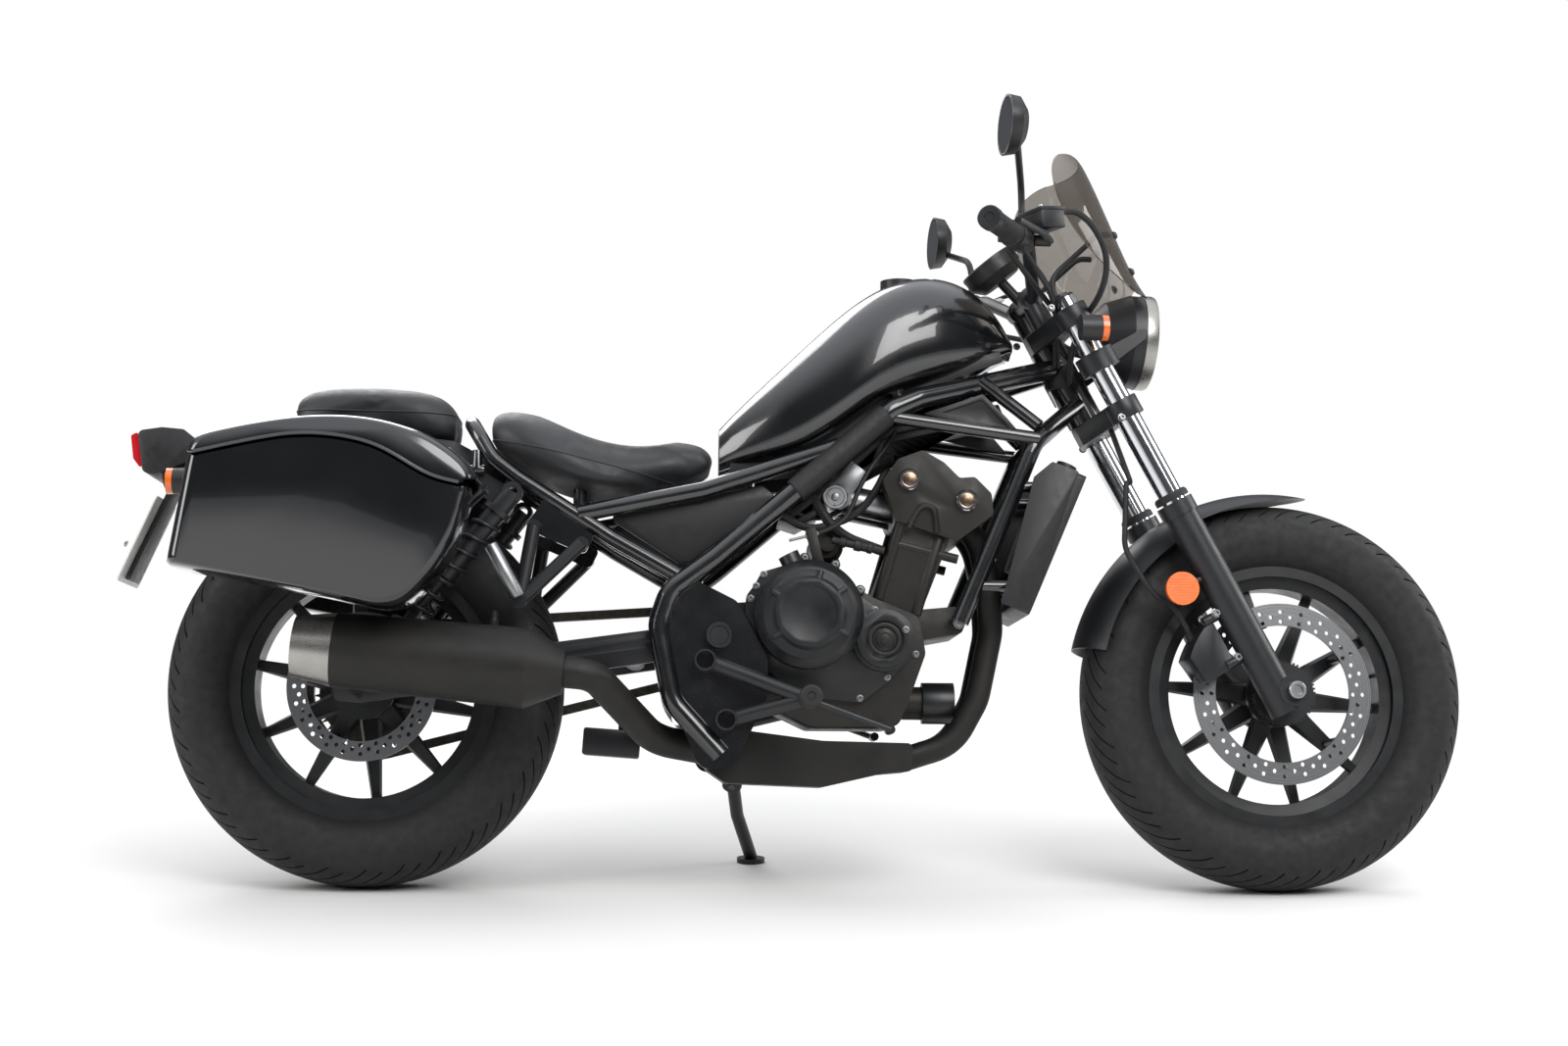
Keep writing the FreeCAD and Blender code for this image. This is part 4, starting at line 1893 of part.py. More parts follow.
frontReach = mm("forkHalfWidth") + mm("axleBossWidth") / 2 + mm("seatGap")
rearReach = mm("armHalfWidth") + mm("armThickness") / 2 + mm("seatGap")
feature("front_axle", axleBar(frontAxle, frontReach, -1), steered)
feature("rear_shafts", together([axleBar(rearAxle, rearReach, 1), pivotShaft()]))
forkTubes()
feature("fork_lowers", together([forkLower(-1), forkLower(1)]), steered)
forkClamps()
handlebar()
grips()
controls()
mirrors()
lampEars = headlamp()
stalk = meter()
stays = [reflectorStay(side) for side in (-1, 1)]
feature("front_brackets", together(lampEars + screenBrackets(windscreen()) + [stalk] + stays), steered)
frontIndicators()
frontFender()
frontCaliper()
brakeHose()
tank()
seats()
radiator()
engine()
mainFrame()
swingarm()
shocks()
chain()
sideCovers()
rearFender()
tailLamp()
rearIndicators()
bags()
bagRails()
engineCovers()
intake()
exhaust()
silencer()
pegs()
sideStand()


# Checks and files

def writeAll():
    doc.recompute()
    faults = [item.Label for item in doc.Objects if "Invalid" in item.State or "Error" in item.State]
    faults += [item.Label for item in subparts if item.Shape.isNull() or not item.Shape.isValid()]
    if faults:
        raise RuntimeError("failed pieces: " + ", ".join(faults))
    os.makedirs("parts", exist_ok=True)
    box = FreeCAD.BoundBox()
    for item in subparts:
        item.Shape.exportStep(f"parts/{item.Label}.step")
        box.add(item.Shape.BoundBox)
    print("box", box)


writeAll()
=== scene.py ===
import json
import math

import bpy
from mathutils import Matrix, Vector

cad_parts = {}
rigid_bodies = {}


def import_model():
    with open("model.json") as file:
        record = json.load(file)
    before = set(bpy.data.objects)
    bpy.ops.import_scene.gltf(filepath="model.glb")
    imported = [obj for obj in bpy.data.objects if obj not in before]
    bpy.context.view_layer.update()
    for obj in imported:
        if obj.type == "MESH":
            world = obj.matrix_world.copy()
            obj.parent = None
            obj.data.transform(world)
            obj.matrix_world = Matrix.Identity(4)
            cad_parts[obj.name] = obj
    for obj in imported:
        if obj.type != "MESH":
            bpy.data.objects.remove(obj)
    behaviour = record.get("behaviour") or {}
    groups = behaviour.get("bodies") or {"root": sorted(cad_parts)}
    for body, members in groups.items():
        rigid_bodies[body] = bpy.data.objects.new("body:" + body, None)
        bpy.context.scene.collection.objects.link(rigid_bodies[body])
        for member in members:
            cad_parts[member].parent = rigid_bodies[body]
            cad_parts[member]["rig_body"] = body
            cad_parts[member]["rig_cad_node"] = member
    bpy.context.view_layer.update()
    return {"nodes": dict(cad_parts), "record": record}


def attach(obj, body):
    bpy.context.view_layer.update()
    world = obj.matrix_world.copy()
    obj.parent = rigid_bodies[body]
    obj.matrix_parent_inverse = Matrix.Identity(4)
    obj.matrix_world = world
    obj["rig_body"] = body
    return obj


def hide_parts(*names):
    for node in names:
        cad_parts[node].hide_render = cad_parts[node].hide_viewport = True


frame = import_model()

node = frame["nodes"]

# How the machine stands: leaning to its left on the side stand, with the bars turned a little.
# Pieces are modelled on an upright machine, x forward from the rear axle, y to the left, z up.
stance = {"leanAngle": 9.42, "steerAngle": 3.94, "rakeAngle": 28, "trail": 0.110, "wheelbase": 1.488,
          "back": 0.704, "right": 0.155}

rake = math.radians(stance["rakeAngle"])
steerLine = Vector((-math.sin(rake), 0, math.cos(rake)))
steerFoot = Vector((stance["wheelbase"] + stance["trail"], 0, 0))
leanTurn = (Matrix.Translation((-stance["back"], -stance["right"], 0))
            @ Matrix.Rotation(math.radians(-stance["leanAngle"]), 4, "X"))
steerTurn = (Matrix.Translation(steerFoot)
             @ Matrix.Rotation(math.radians(stance["steerAngle"]), 4, steerLine)
             @ Matrix.Translation(-steerFoot))


# Camera, floor and light

camera = {"x": 0.5175, "y": -3.9834, "z": 0.7777, "lens": 56.58, "yaw": 2.28, "pitch": 2.57, "roll": 0.66}


def aimCamera():
    yaw, pitch, roll = (math.radians(camera[k]) for k in ("yaw", "pitch", "roll"))
    ahead = Vector((math.sin(yaw) * math.cos(pitch), math.cos(yaw) * math.cos(pitch), -math.sin(pitch)))
    side = Vector((math.cos(yaw), -math.sin(yaw), 0))
    up = side.cross(ahead)
    sideRolled = side * math.cos(roll) + up * math.sin(roll)
    upRolled = up * math.cos(roll) - side * math.sin(roll)
    bpy.ops.object.camera_add()
    eye = bpy.context.object
    eye.name = "photo_camera"
    turn = Matrix((sideRolled, upRolled, -ahead)).transposed().to_4x4()
    place = Vector((camera["x"] - stance["back"], camera["y"] - stance["right"], camera["z"]))
    eye.matrix_world = Matrix.Translation(place) @ turn
    eye.data.lens = camera["lens"]
    eye.data.sensor_width = 36
    eye.data.clip_end = 60
    bpy.context.scene.camera = eye


studio = {"floorColour": "#dedddb", "floorSize": 40, "low": 0.1, "high": 1.5,
          "lamps": [("key_light", (1.6, -3.4, 3.6), 2.6, 150), ("back_light", (-1.5, 3.2, 3.0), 2.6, 90),
                    ("tail_light", (-3.6, -1.6, 1.9), 1.8, 60), ("front_light", (3.8, 0.4, 2.0), 1.8, 60)]}


def linear(code):
    # sRGB hex to linear
    parts = [int(code[i:i + 2], 16) / 255 for i in (1, 3, 5)]
    return tuple(c / 12.92 if c <= 0.04045 else ((c + 0.055) / 1.055) ** 2.4 for c in parts) + (1.0,)


def add(tree, kind, settings=None, links=None):
    step = tree.nodes.new("ShaderNode" + kind)
    for name, value in (settings or {}).items():
        if isinstance(name, str) and name[0].islower():
            setattr(step, name, value)
        else:
            step.inputs[name].default_value = value
    for name, source in (links or {}).items():
        tree.links.new(source, step.inputs[name])
    return step


def lightStudio():
    scene = bpy.context.scene
    scene.view_settings.view_transform = "Standard"
    bpy.ops.mesh.primitive_plane_add(size=studio["floorSize"])
    floor = bpy.context.object
    floor.name = "studio_floor"
    paper = bpy.data.materials.new("pale paper floor")
    paper.use_nodes = True
    tree = paper.node_tree
    tree.nodes.clear()
    path = add(tree, "LightPath")
    place = add(tree, "NewGeometry")
    far = add(tree, "VectorMath", {"operation": "LENGTH"}, {0: place.outputs["Position"]})
    fade = add(tree, "MapRange", {1: 1.25, 2: 3.2}, {0: far.outputs["Value"]})
    dull = add(tree, "BsdfDiffuse", {"Color": linear(studio["floorColour"])})
    glow = add(tree, "Emission", {"Color": (1, 1, 1, 1), "Strength": 1.0})
    seen = add(tree, "Math", {"operation": "MULTIPLY"},
               {0: path.outputs["Is Camera Ray"], 1: fade.outputs[0]})
    mix = add(tree, "MixShader", {}, {0: seen.outputs[0], 1: dull.outputs[0], 2: glow.outputs[0]})
    add(tree, "OutputMaterial", {}, {"Surface": mix.outputs[0]})
    floor.data.materials.append(paper)
    world = bpy.data.worlds.new("soft studio")
    world.use_nodes = True
    scene.world = world
    tree = world.node_tree
    tree.nodes.clear()
    path = add(tree, "LightPath")
    first = add(tree, "Math", {"operation": "MAXIMUM"},
                {0: path.outputs["Is Camera Ray"], 1: path.outputs["Is Transmission Ray"]})
    toward = add(tree, "TexCoord")
    parts = add(tree, "SeparateXYZ", {}, {0: toward.outputs["Generated"]})
    height = add(tree, "MapRange", {"interpolation_type": "SMOOTHSTEP", 1: 0.4, 2: 0.9, 3: studio["low"],
                                    4: studio["high"]}, {0: parts.outputs["Z"]})
    soft = add(tree, "Background", {"Color": (0.93, 0.95, 1.0, 1)}, {"Strength": height.outputs[0]})
    white = add(tree, "Background", {"Color": (1, 1, 1, 1), "Strength": 1.0})
    mix = add(tree, "MixShader", {}, {0: first.outputs[0], 1: soft.outputs[0], 2: white.outputs[0]})
    add(tree, "OutputWorld", {}, {"Surface": mix.outputs[0]})
    for name, place, size, power in studio["lamps"]:
        bpy.ops.object.light_add(type="AREA", location=place)
        lamp = bpy.context.object
        lamp.name = name
        lamp.data.size = size
        lamp.data.energy = power
        aim = Vector((0, 0, 0.5)) - Vector(place)
        lamp.rotation_mode = "QUATERNION"
        lamp.rotation_quaternion = aim.to_track_quat("-Z", "Y")


aimCamera()
lightStudio()
print("camera, floor and light are set")


# Finishes

mm = 0.001


def newFinish(name, settings=None):
    made = bpy.data.materials.new(name)
    made.use_nodes = True
    tree = made.node_tree
    tree.nodes.clear()
    where = add(tree, "TexCoord").outputs["Object"]
    skin = add(tree, "BsdfPrincipled", settings)
    add(tree, "OutputMaterial", {}, {"Surface": skin.outputs[0]})
    return made, tree, where, skin


def grain(tree, where, size, detail=3.0):
    noise = add(tree, "TexNoise", {"Scale": 1 / (size * mm), "Detail": detail}, {"Vector": where})
    return noise.outputs["Fac"]


def tone(tree, source, skin, dark, light):
    mix = add(tree, "Mix", {"data_type": "RGBA", 6: linear(dark), 7: linear(light)}, {"Factor": source})
    tree.links.new(mix.outputs[2], skin.inputs["Base Color"])


def gloss(tree, source, skin, low, high):
    spread = add(tree, "MapRange", {1: 0.3, 2: 0.7, 3: low, 4: high}, {0: source})
    tree.links.new(spread.outputs[0], skin.inputs["Roughness"])


def relief(tree, source, skin, depth, strength):
    bump = add(tree, "Bump", {"Strength": strength, "Distance": depth * mm}, {"Height": source})
    tree.links.new(bump.outputs[0], skin.inputs["Normal"])


def surface(name, dark, light, patch, shine=None, rough=None, settings=None):
    # a coat over metal or plastic: slow change of colour, gloss that drifts over a grain, and a fine relief
    made, tree, where, skin = newFinish(name, settings)
    tone(tree, grain(tree, where, patch, 4.0), skin, dark, light)
    if shine:
        size, low, high = shine
        gloss(tree, grain(tree, where, size), skin, low, high)
    if rough:
        size, detail, depth, strength = rough
        relief(tree, grain(tree, where, size, detail), skin, depth, strength)
    return made


# Each row: name, dark and light colour, patch of colour in mm, (grain in mm, least and most roughness),
# (grain in mm, octaves, depth in mm, strength) of the relief, and constants.
surfaces = {
    # stoved enamel under clear lacquer: deep, wet highlights with a faint orange peel
    "body_paint": ("gloss black enamel", "#08090b", "#0d0e11", 180, (60, 0.2, 0.28), (9, 1.0, 0.05, 0.35),
                   {"Coat Weight": 1.0, "Coat Roughness": 0.04}),
    # powder-coated steel tube: glossy with sharp lines of light, slightly pebbled
    "frame_paint": ("black powder coat", "#0b0c0d", "#131416", 120, (40, 0.2, 0.3), (2.2, 2.0, 0.03, 0.2),
                    {"Coat Weight": 1.0, "Coat Roughness": 0.06}),
    # satin paint over pressed steel: wide soft highlights
    "satin_paint": ("satin black paint", "#131416", "#1b1c1f", 140, (50, 0.36, 0.46), (1.6, 2.0, 0.05, 0.3)),
    # die-cast aluminium under baked matt paint with a brown cast: fine sandy grain
    "engine_paint": ("baked engine paint", "#17150f", "#26231e", 60, (25, 0.42, 0.58), (1.3, 3.0, 0.12, 0.5),
                     {"Metallic": 0.25}),
    # painted cast wheel: the slight softness of a sand-filled mould
    "cast_paint": ("satin black cast wheel", "#101112", "#1a1b1d", 70, (30, 0.32, 0.45),
                   (2.0, 2.0, 0.08, 0.35)),
    # heat-proof matt coating: a little greyer where it is hottest
    "exhaust_black": ("heat proof black", "#141312", "#24221f", 90, (30, 0.45, 0.62), (0.9, 3.0, 0.05, 0.4),
                      {"Metallic": 0.3}),
    # oiled steel: dull grey-brown with darker oil in patches
    "chain_steel": ("oiled chain steel", "#2a2723", "#6a655d", 9, (6, 0.3, 0.55), None, {"Metallic": 0.85}),
    # polished chrome plate: mirror-bright, hardly a mark
    "chrome": ("chrome plate", "#c9cbce", "#d6d8da", 60, (20, 0.05, 0.11), None, {"Metallic": 1.0}),
    # bare aluminium casting: light grey with fine blast grain
    "silver": ("satin cast aluminium", "#8b8c8d", "#a9aaab", 30, (12, 0.3, 0.44), (0.7, 2.0, 0.05, 0.4),
               {"Metallic": 1.0}),
    # moulded tyre rubber: near black, dry and slightly dusty
    "tyre_rubber": ("tyre rubber", "#0e0e0e", "#171717", 45, (15, 0.62, 0.8), (0.8, 3.0, 0.06, 0.4)),
    # moulded soft rubber: black and dull
    "rubber": ("soft black rubber", "#101010", "#191919", 25, (8, 0.55, 0.7), (0.7, 2.0, 0.04, 0.4)),
    # injection-moulded plastic: fine spark-eroded texture
    "black_plastic": ("moulded black plastic", "#141415", "#1c1c1e", 60, (14, 0.4, 0.52),
                      (0.6, 2.0, 0.05, 0.5)),
    # vacuum-formed hard shell under gloss lacquer: sharp highlights on slow waves
    "bag_shell": ("gloss black shell", "#0a0b0d", "#101114", 160, (70, 0.16, 0.24), (14, 1.0, 0.08, 0.3),
                  {"Coat Weight": 0.8, "Coat Roughness": 0.06}),
    # clear polycarbonate: very slightly hazed
    "clear_lens": ("clear lamp lens", "#eef1f3", "#f8fafb", 40, (20, 0.02, 0.06), None,
                   {"Transmission Weight": 0.95, "IOR": 1.45}),
    # tinted acrylic sheet, polished: the low IOR keeps the thin sheet from bending what lies behind it
    "smoked_screen": ("smoked acrylic", "#8d8781", "#99938d", 120, None, None,
                      {"Roughness": 0.03, "Transmission Weight": 0.95, "IOR": 1.1, "Coat Weight": 0.6}),
    # silvered glass: a clean mirror
    "mirror_glass": ("silvered glass", "#c5ccd2", "#ced5da", 60, None, None,
                     {"Metallic": 1.0, "Roughness": 0.02}),
    # enamelled sheet aluminium: blank and pale
    "plate_white": ("enamelled plate", "#c9c9c4", "#d8d8d4", 50, (20, 0.3, 0.4)),
    # anodised plug of a camshaft bore: warm brown metal, satin
    "bronze_plug": ("bronze anodised plug", "#7d6656", "#94806f", 6, (4, 0.22, 0.32), None,
                    {"Metallic": 1.0}),
    # printed dial of dark acetate: even, half gloss
    "dial_face": ("dark acetate dial", "#060607", "#0c0c0e", 20, None, None, {"Roughness": 0.35}),
    # liquid crystal panel: grey green and slightly silvery
    "display_glass": ("liquid crystal panel", "#5d6a62", "#6c7a70", 8, None, None, {"Roughness": 0.22}),
}


def brushedSteel():
    # stainless steel brushed along the machine: long thin scratches
    made, tree, where, skin = newFinish("brushed stainless steel", {"Metallic": 1.0})
    tone(tree, grain(tree, where, 40, 4.0), skin, "#8f8d89", "#b5b2ac")
    stretch = add(tree, "Mapping", {"Scale": (1 / 0.06, 1 / 0.0006, 1 / 0.0006)}, {"Vector": where})
    lines = add(tree, "TexNoise", {"Scale": 1.0, "Detail": 2.0},
                {"Vector": stretch.outputs[0]}).outputs["Fac"]
    gloss(tree, lines, skin, 0.24, 0.42)
    relief(tree, lines, skin, 0.03, 0.4)
    return made


def discSteel(name, centre, steered):
    # ground and worn brake disc: fine circular scratches about the wheel's axis
    made, tree, where, skin = newFinish(name, {"Metallic": 1.0})
    turn = leanTurn @ steerTurn if steered else leanTurn
    back = (turn @ Matrix.Translation(centre)).inverted()
    local = add(tree, "Mapping", {"Location": back.to_translation(),
                                  "Rotation": back.to_quaternion().to_euler("XYZ")}, {"Vector": where})
    flat = add(tree, "VectorMath", {"operation": "MULTIPLY", 1: (1, 0, 1)}, {0: local.outputs[0]})
    far = add(tree, "VectorMath", {"operation": "LENGTH"}, {0: flat.outputs[0]})
    fine = add(tree, "Math", {"operation": "MULTIPLY", 1: 1 / 0.0011}, {0: far.outputs["Value"]})
    lines = add(tree, "TexNoise", {"noise_dimensions": "1D", "Scale": 1.0, "Detail": 3.0},
                {"W": fine.outputs[0]}).outputs["Fac"]
    tone(tree, lines, skin, "#77787a", "#a9aaac")
    gloss(tree, lines, skin, 0.26, 0.4)
    relief(tree, lines, skin, 0.02, 0.5)
    return made


def seatCover():
    # vinyl embossed with a leather grain of 2.4 mm cells, soft sheen along the creases
    made, tree, where, skin = newFinish("grained seat vinyl", {"Sheen Weight": 0.12})
    tone(tree, grain(tree, where, 70, 4.0), skin, "#161718", "#202124")
    cells = add(tree, "TexVoronoi", {"feature": "DISTANCE_TO_EDGE", "Scale": 1 / (2.4 * mm)},
                {"Vector": where})
    groove = add(tree, "MapRange", {1: 0.0, 2: 0.22}, {0: cells.outputs["Distance"]})
    relief(tree, groove.outputs[0], skin, 0.16, 0.5)
    gloss(tree, grain(tree, where, 18), skin, 0.42, 0.56)
    return made


def lampLens(name, dark, light, spacing):
    # coloured acrylic lens with fine prism ribs inside
    made, tree, where, skin = newFinish(name, {"Roughness": 0.14, "Coat Weight": 1.0,
                                               "Transmission Weight": 0.05, "IOR": 1.49})
    tone(tree, grain(tree, where, 12, 4.0), skin, dark, light)
    stretch = add(tree, "Mapping", {"Scale": (1 / (spacing * mm),) * 3}, {"Vector": where})
    ribs = add(tree, "TexWave", {"Scale": 0.5, "bands_direction": "Z"}, {"Vector": stretch.outputs[0]})
    relief(tree, ribs.outputs["Fac"], skin, 0.3, 0.5)
    return made


wheels = {"front": Vector((1.488, 0, 0.3192)), "rear": Vector((0, 0, 0.3228))}

finish = {slot: surface(*row) for slot, row in surfaces.items()}
finish["brushed"] = brushedSteel()
finish["disc_steel"] = discSteel("ground disc steel", wheels["front"], True)
finish["rear_disc"] = discSteel("ground rear disc steel", wheels["rear"], False)
finish["seat_cover"] = seatCover()
finish["red_lens"] = lampLens("red acrylic lens", "#a80f1a", "#d2121f", 5)
finish["amber_lens"] = lampLens("amber acrylic lens", "#e05c00", "#f27400", 4)

slotOf = {part["node"]: part["material_slot"] for part in frame["record"]["subparts"]}
for name, part in node.items():
    for slot in part.material_slots:
        slot.material = finish["rear_disc" if name == "rear_disc" else slotOf[name]]
print("finishes are on the machine's parts")


# Ways of working

# distances in metres, angles in degrees, steps of a curve
work = {"merge": 0.00002, "cadMerge": 0.00001, "flat": 0.8, "bevelSteps": 2, "tubeSteps": 12, "tubeSides": 2}


def deselect():
    if bpy.context.mode != "OBJECT":
        bpy.ops.object.mode_set(mode="OBJECT")
    bpy.ops.object.select_all(action="DESELECT")


def take(piece):
    deselect()
    piece.select_set(True)
    bpy.context.view_layer.objects.active = piece
    return piece


def edit(piece, kind="FACE"):
    # opens the piece with all of it selected
    take(piece)
    bpy.ops.object.mode_set(mode="EDIT")
    bpy.ops.mesh.select_mode(type=kind)
    bpy.ops.mesh.select_all(action="SELECT")


def leave():
    bpy.ops.object.mode_set(mode="OBJECT")


def pick(piece, test):
    # opens the piece with only the faces selected whose middle and normal pass the test
    edit(piece)
    bpy.ops.mesh.select_all(action="DESELECT")
    leave()
    for face in piece.data.polygons:
        face.select = bool(test(face.center, face.normal))
    bpy.ops.object.mode_set(mode="EDIT")


def bike(x, y, z):
    return Vector((x, y, z)) * mm


def outward(piece):
    # merges what meets, drops what hangs loose and turns all faces outwards
    edit(piece, "VERT")
    bpy.ops.mesh.remove_doubles(threshold=work["merge"])
    bpy.ops.mesh.delete_loose(use_verts=True, use_edges=True, use_faces=False)
    bpy.ops.mesh.select_all(action="SELECT")
    bpy.ops.mesh.normals_make_consistent(inside=False)
    leave()


def smooth(piece, angle):
    take(piece)
    bpy.ops.object.shade_smooth_by_angle(angle=math.radians(angle))


def modify(piece, kind, **values):
    take(piece)
    step = piece.modifiers.new(kind.lower(), kind)
    for name, value in values.items():
        setattr(step, name, value)
    bpy.ops.object.modifier_apply(modifier=step.name)


def rounded(piece, width, angle=30):
    modify(piece, "BEVEL", width=width * mm, segments=work["bevelSteps"], limit_method="ANGLE",
           angle_limit=math.radians(angle), use_clamp_overlap=True)


def shaped(places, filled=False):
    # a closed line through those places, or the face within it
    deselect()
    bpy.ops.mesh.primitive_circle_add(vertices=len(places), radius=0.01,
                                      fill_type="NGON" if filled else "NOTHING")
    piece = bpy.context.object
    for vertex, place in zip(piece.data.vertices, places):
        vertex.co = place
    return piece


def facing(along):
    # the turn that brings Z to that direction
    return Vector(along).to_track_quat("Z", "X").to_matrix().to_4x4()


def turned(outline, centre=(0, 0, 0), along=(0, -1, 0), steps=48):
    # spins an outline of (radius, along) in millimetres about its axis
    piece = shaped([(radius * mm, 0, far * mm) for radius, far in outline])
    edit(piece, "VERT")
    bpy.ops.mesh.spin(steps=steps, angle=math.tau, center=(0, 0, 0), axis=(0, 0, 1))
    leave()
    outward(piece)
    piece.matrix_world = Matrix.Translation(bike(*centre)) @ facing(along)
    return piece


def freeze(piece):
    take(piece)
    bpy.ops.object.transform_apply(location=True, rotation=True, scale=True)
    return piece


def again(piece, turn):
    # a copy with its own mesh, moved by that matrix
    take(piece)
    bpy.ops.object.duplicate(linked=False)
    other = bpy.context.object
    other.matrix_world = turn @ piece.matrix_world
    return other


def joined(pieces):
    pieces = [freeze(piece) for piece in pieces]
    deselect()
    for piece in pieces:
        piece.select_set(True)
    bpy.context.view_layer.objects.active = pieces[0]
    if len(pieces) > 1:
        bpy.ops.object.join()
    return bpy.context.object


def dress(piece, name, slot, angle, material=None):
    piece.name = name
    piece.data.materials.clear()
    piece.data.materials.append(material or finish[slot])
    smooth(piece, angle)


def fasten(piece, body, stands=()):
    if stands:
        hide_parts(*stands)
    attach(piece, body)


def settle(piece, name, body, slot, angle=35, material=None, stands=()):
    # gives the piece its finish, leans and steers it with the machine and fastens it to its body
    dress(piece, name, slot, angle, material)
    piece.data.name = name
    turn = leanTurn @ steerTurn if body in ("steering", "front_wheel") else leanTurn
    piece.matrix_world = turn @ piece.matrix_world
    fasten(freeze(piece), body, stands)


def tube(points, radius):
    # a round tube or cable along smooth points in millimetres
    deselect()
    bpy.ops.curve.primitive_nurbs_path_add()
    wire = bpy.context.object
    wire.data.splines.clear()
    line = wire.data.splines.new("NURBS")
    line.points.add(len(points) - 1)
    for point, (x, y, z) in zip(line.points, points):
        point.co = (x * mm, y * mm, z * mm, 1)
    line.order_u = 3
    line.use_endpoint_u = True
    line.resolution_u = work["tubeSteps"]
    wire.data.dimensions = "3D"
    wire.data.bevel_depth = radius * mm
    wire.data.bevel_resolution = work["tubeSides"]
    wire.data.use_fill_caps = True
    take(wire)
    bpy.ops.object.convert(target="MESH")
    piece = bpy.context.object
    outward(piece)
    return piece


def copyOfNode(name):
    # a workable copy of a CAD part: merged, with its flat faces whole again, on the upright machine
    deselect()
    source = node[name]
    source.hide_set(False)
    take(source)
    bpy.ops.object.duplicate(linked=False)
    piece = bpy.context.object
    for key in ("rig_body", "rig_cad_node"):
        if key in piece:
            del piece[key]
    piece.parent = None
    piece.matrix_world = Matrix.Identity(4)
    edit(piece, "VERT")
    bpy.ops.mesh.remove_doubles(threshold=work["cadMerge"])
    bpy.ops.mesh.dissolve_limited(angle_limit=math.radians(work["flat"]))
    leave()
    return piece


bodyOf = {name: body for body, names in frame["record"]["behaviour"]["bodies"].items() for name in names}


# Tyres

# ribs: radius and rise; cuts: column, least distance from the crown and reach inwards
tyre = {"rearRadius": 320.8, "rearWidth": 150, "frontRadius": 318.3, "frontWidth": 130, "beadRadius": 203,
        "squareness": 2.25, "steps": 51, "closing": 0.93, "ribs": [(232, 1.1), (252, 0.8), (285, 1.0)],
        "ribHalf": 2.6, "grooves": 30, "columns": 300, "slant": 0.0052, "grooveDepth": 3.2, "bevel": 0.7,
        "shift": 5, "cuts": [(0, 12, 30), (5, 20, 22)]}


def tyreOutline(radius, width):
    high = (radius - tyre["beadRadius"]) / 2
    middle = tyre["beadRadius"] + high
    power = 2 / tyre["squareness"]
    points = []
    for step in range(tyre["steps"] + 1):
        turn = math.pi * (step / tyre["steps"] * 2 - 1) * tyre["closing"]
        out = math.copysign(abs(math.cos(turn)) ** power, math.cos(turn)) * high
        side = math.copysign(abs(math.sin(turn)) ** power, math.sin(turn)) * width / 2
        far = middle + out
        for place, rise in tyre["ribs"]:
            if abs(far - place) < tyre["ribHalf"]:
                side += math.copysign(rise, side)
        points.append((far, side))
    return points


def makeTyre(end, radius, width, centre):
    edge = width / 2
    places = []
    for far, side in tyreOutline(radius, width):
        turn = min(abs(side), edge) * tyre["slant"]
        places.append((far * mm * math.cos(turn), side * mm, far * mm * math.sin(turn)))
    piece = shaped(places)
    edit(piece, "VERT")
    bpy.ops.mesh.spin(steps=tyre["columns"], angle=math.tau, center=(0, 0, 0), axis=(0, 1, 0))
    leave()
    outward(piece)
    column = math.tau / tyre["columns"]

    def grooved(place, normal):
        # long and short cuts by turns, from the shoulder towards the crown
        side = abs(place.y) / mm
        far = math.hypot(place.x, place.z) / mm
        turn = math.atan2(place.z, place.x) - min(side, edge) * tyre["slant"]
        count = int(math.floor((turn % math.tau) / column + 0.5)) + (tyre["shift"] if place.y > 0 else 0)
        beat = count % (tyre["columns"] // tyre["grooves"])
        return any(beat == at and side > inner and far > radius - reach for at, inner, reach in tyre["cuts"])

    pick(piece, grooved)
    bpy.ops.mesh.inset(thickness=tyre["bevel"] * mm, depth=0, use_even_offset=True)
    bpy.ops.mesh.extrude_region_shrink_fatten(
        TRANSFORM_OT_shrink_fatten={"value": -tyre["grooveDepth"] * mm})
    leave()
    piece.matrix_world = Matrix.Translation(centre)
    settle(piece, end + "_tyre_tread", end + "_wheel", "tyre_rubber", 30, stands=(end + "_tyre",))


for end, centre in wheels.items():
    makeTyre(end, tyre[end + "Radius"], tyre[end + "Width"], centre)
print("tyres are moulded")


# Seats: foam pads under a grained cover, swollen by cloth simulation

# welts: height of the cut on the seat's middle and the direction across it
seat = {"voxel": 5, "shrink": 3.0, "pressure": 4.0, "cap": 9.0, "frames": 20, "welt": 1.6, "fill": 0.8,
        "smoothing": 0.5, "welts": {"rider_seat": ((380, 0, 684), (0.22, 0, 1)),
                                    "pillion_seat": ((0, 0, 770), (0.02, 0, 1))}}


def stuffed(source):
    piece = copyOfNode(source)
    modify(piece, "REMESH", mode="VOXEL", voxel_size=seat["voxel"] * mm)
    modify(piece, "SMOOTH", factor=seat["smoothing"], iterations=6)
    edit(piece)
    bpy.ops.transform.shrink_fatten(value=-seat["shrink"] * mm)
    leave()
    start = [vertex.co.copy() for vertex in piece.data.vertices]
    take(piece)
    cloth = piece.modifiers.new("cloth", "CLOTH")
    cloth.settings.use_pressure = True
    cloth.settings.uniform_pressure_force = seat["pressure"]
    cloth.settings.effector_weights.gravity = 0
    for moment in range(1, seat["frames"] + 1):
        bpy.context.scene.frame_set(moment)
    bpy.ops.object.modifier_apply(modifier="cloth")
    bpy.context.scene.frame_set(1)
    for vertex, old in zip(piece.data.vertices, start):
        move = vertex.co - old
        if move.length > seat["cap"] * mm:
            vertex.co = old + move.normalized() * seat["cap"] * mm
    modify(piece, "SMOOTH", factor=seat["smoothing"], iterations=3)
    return piece


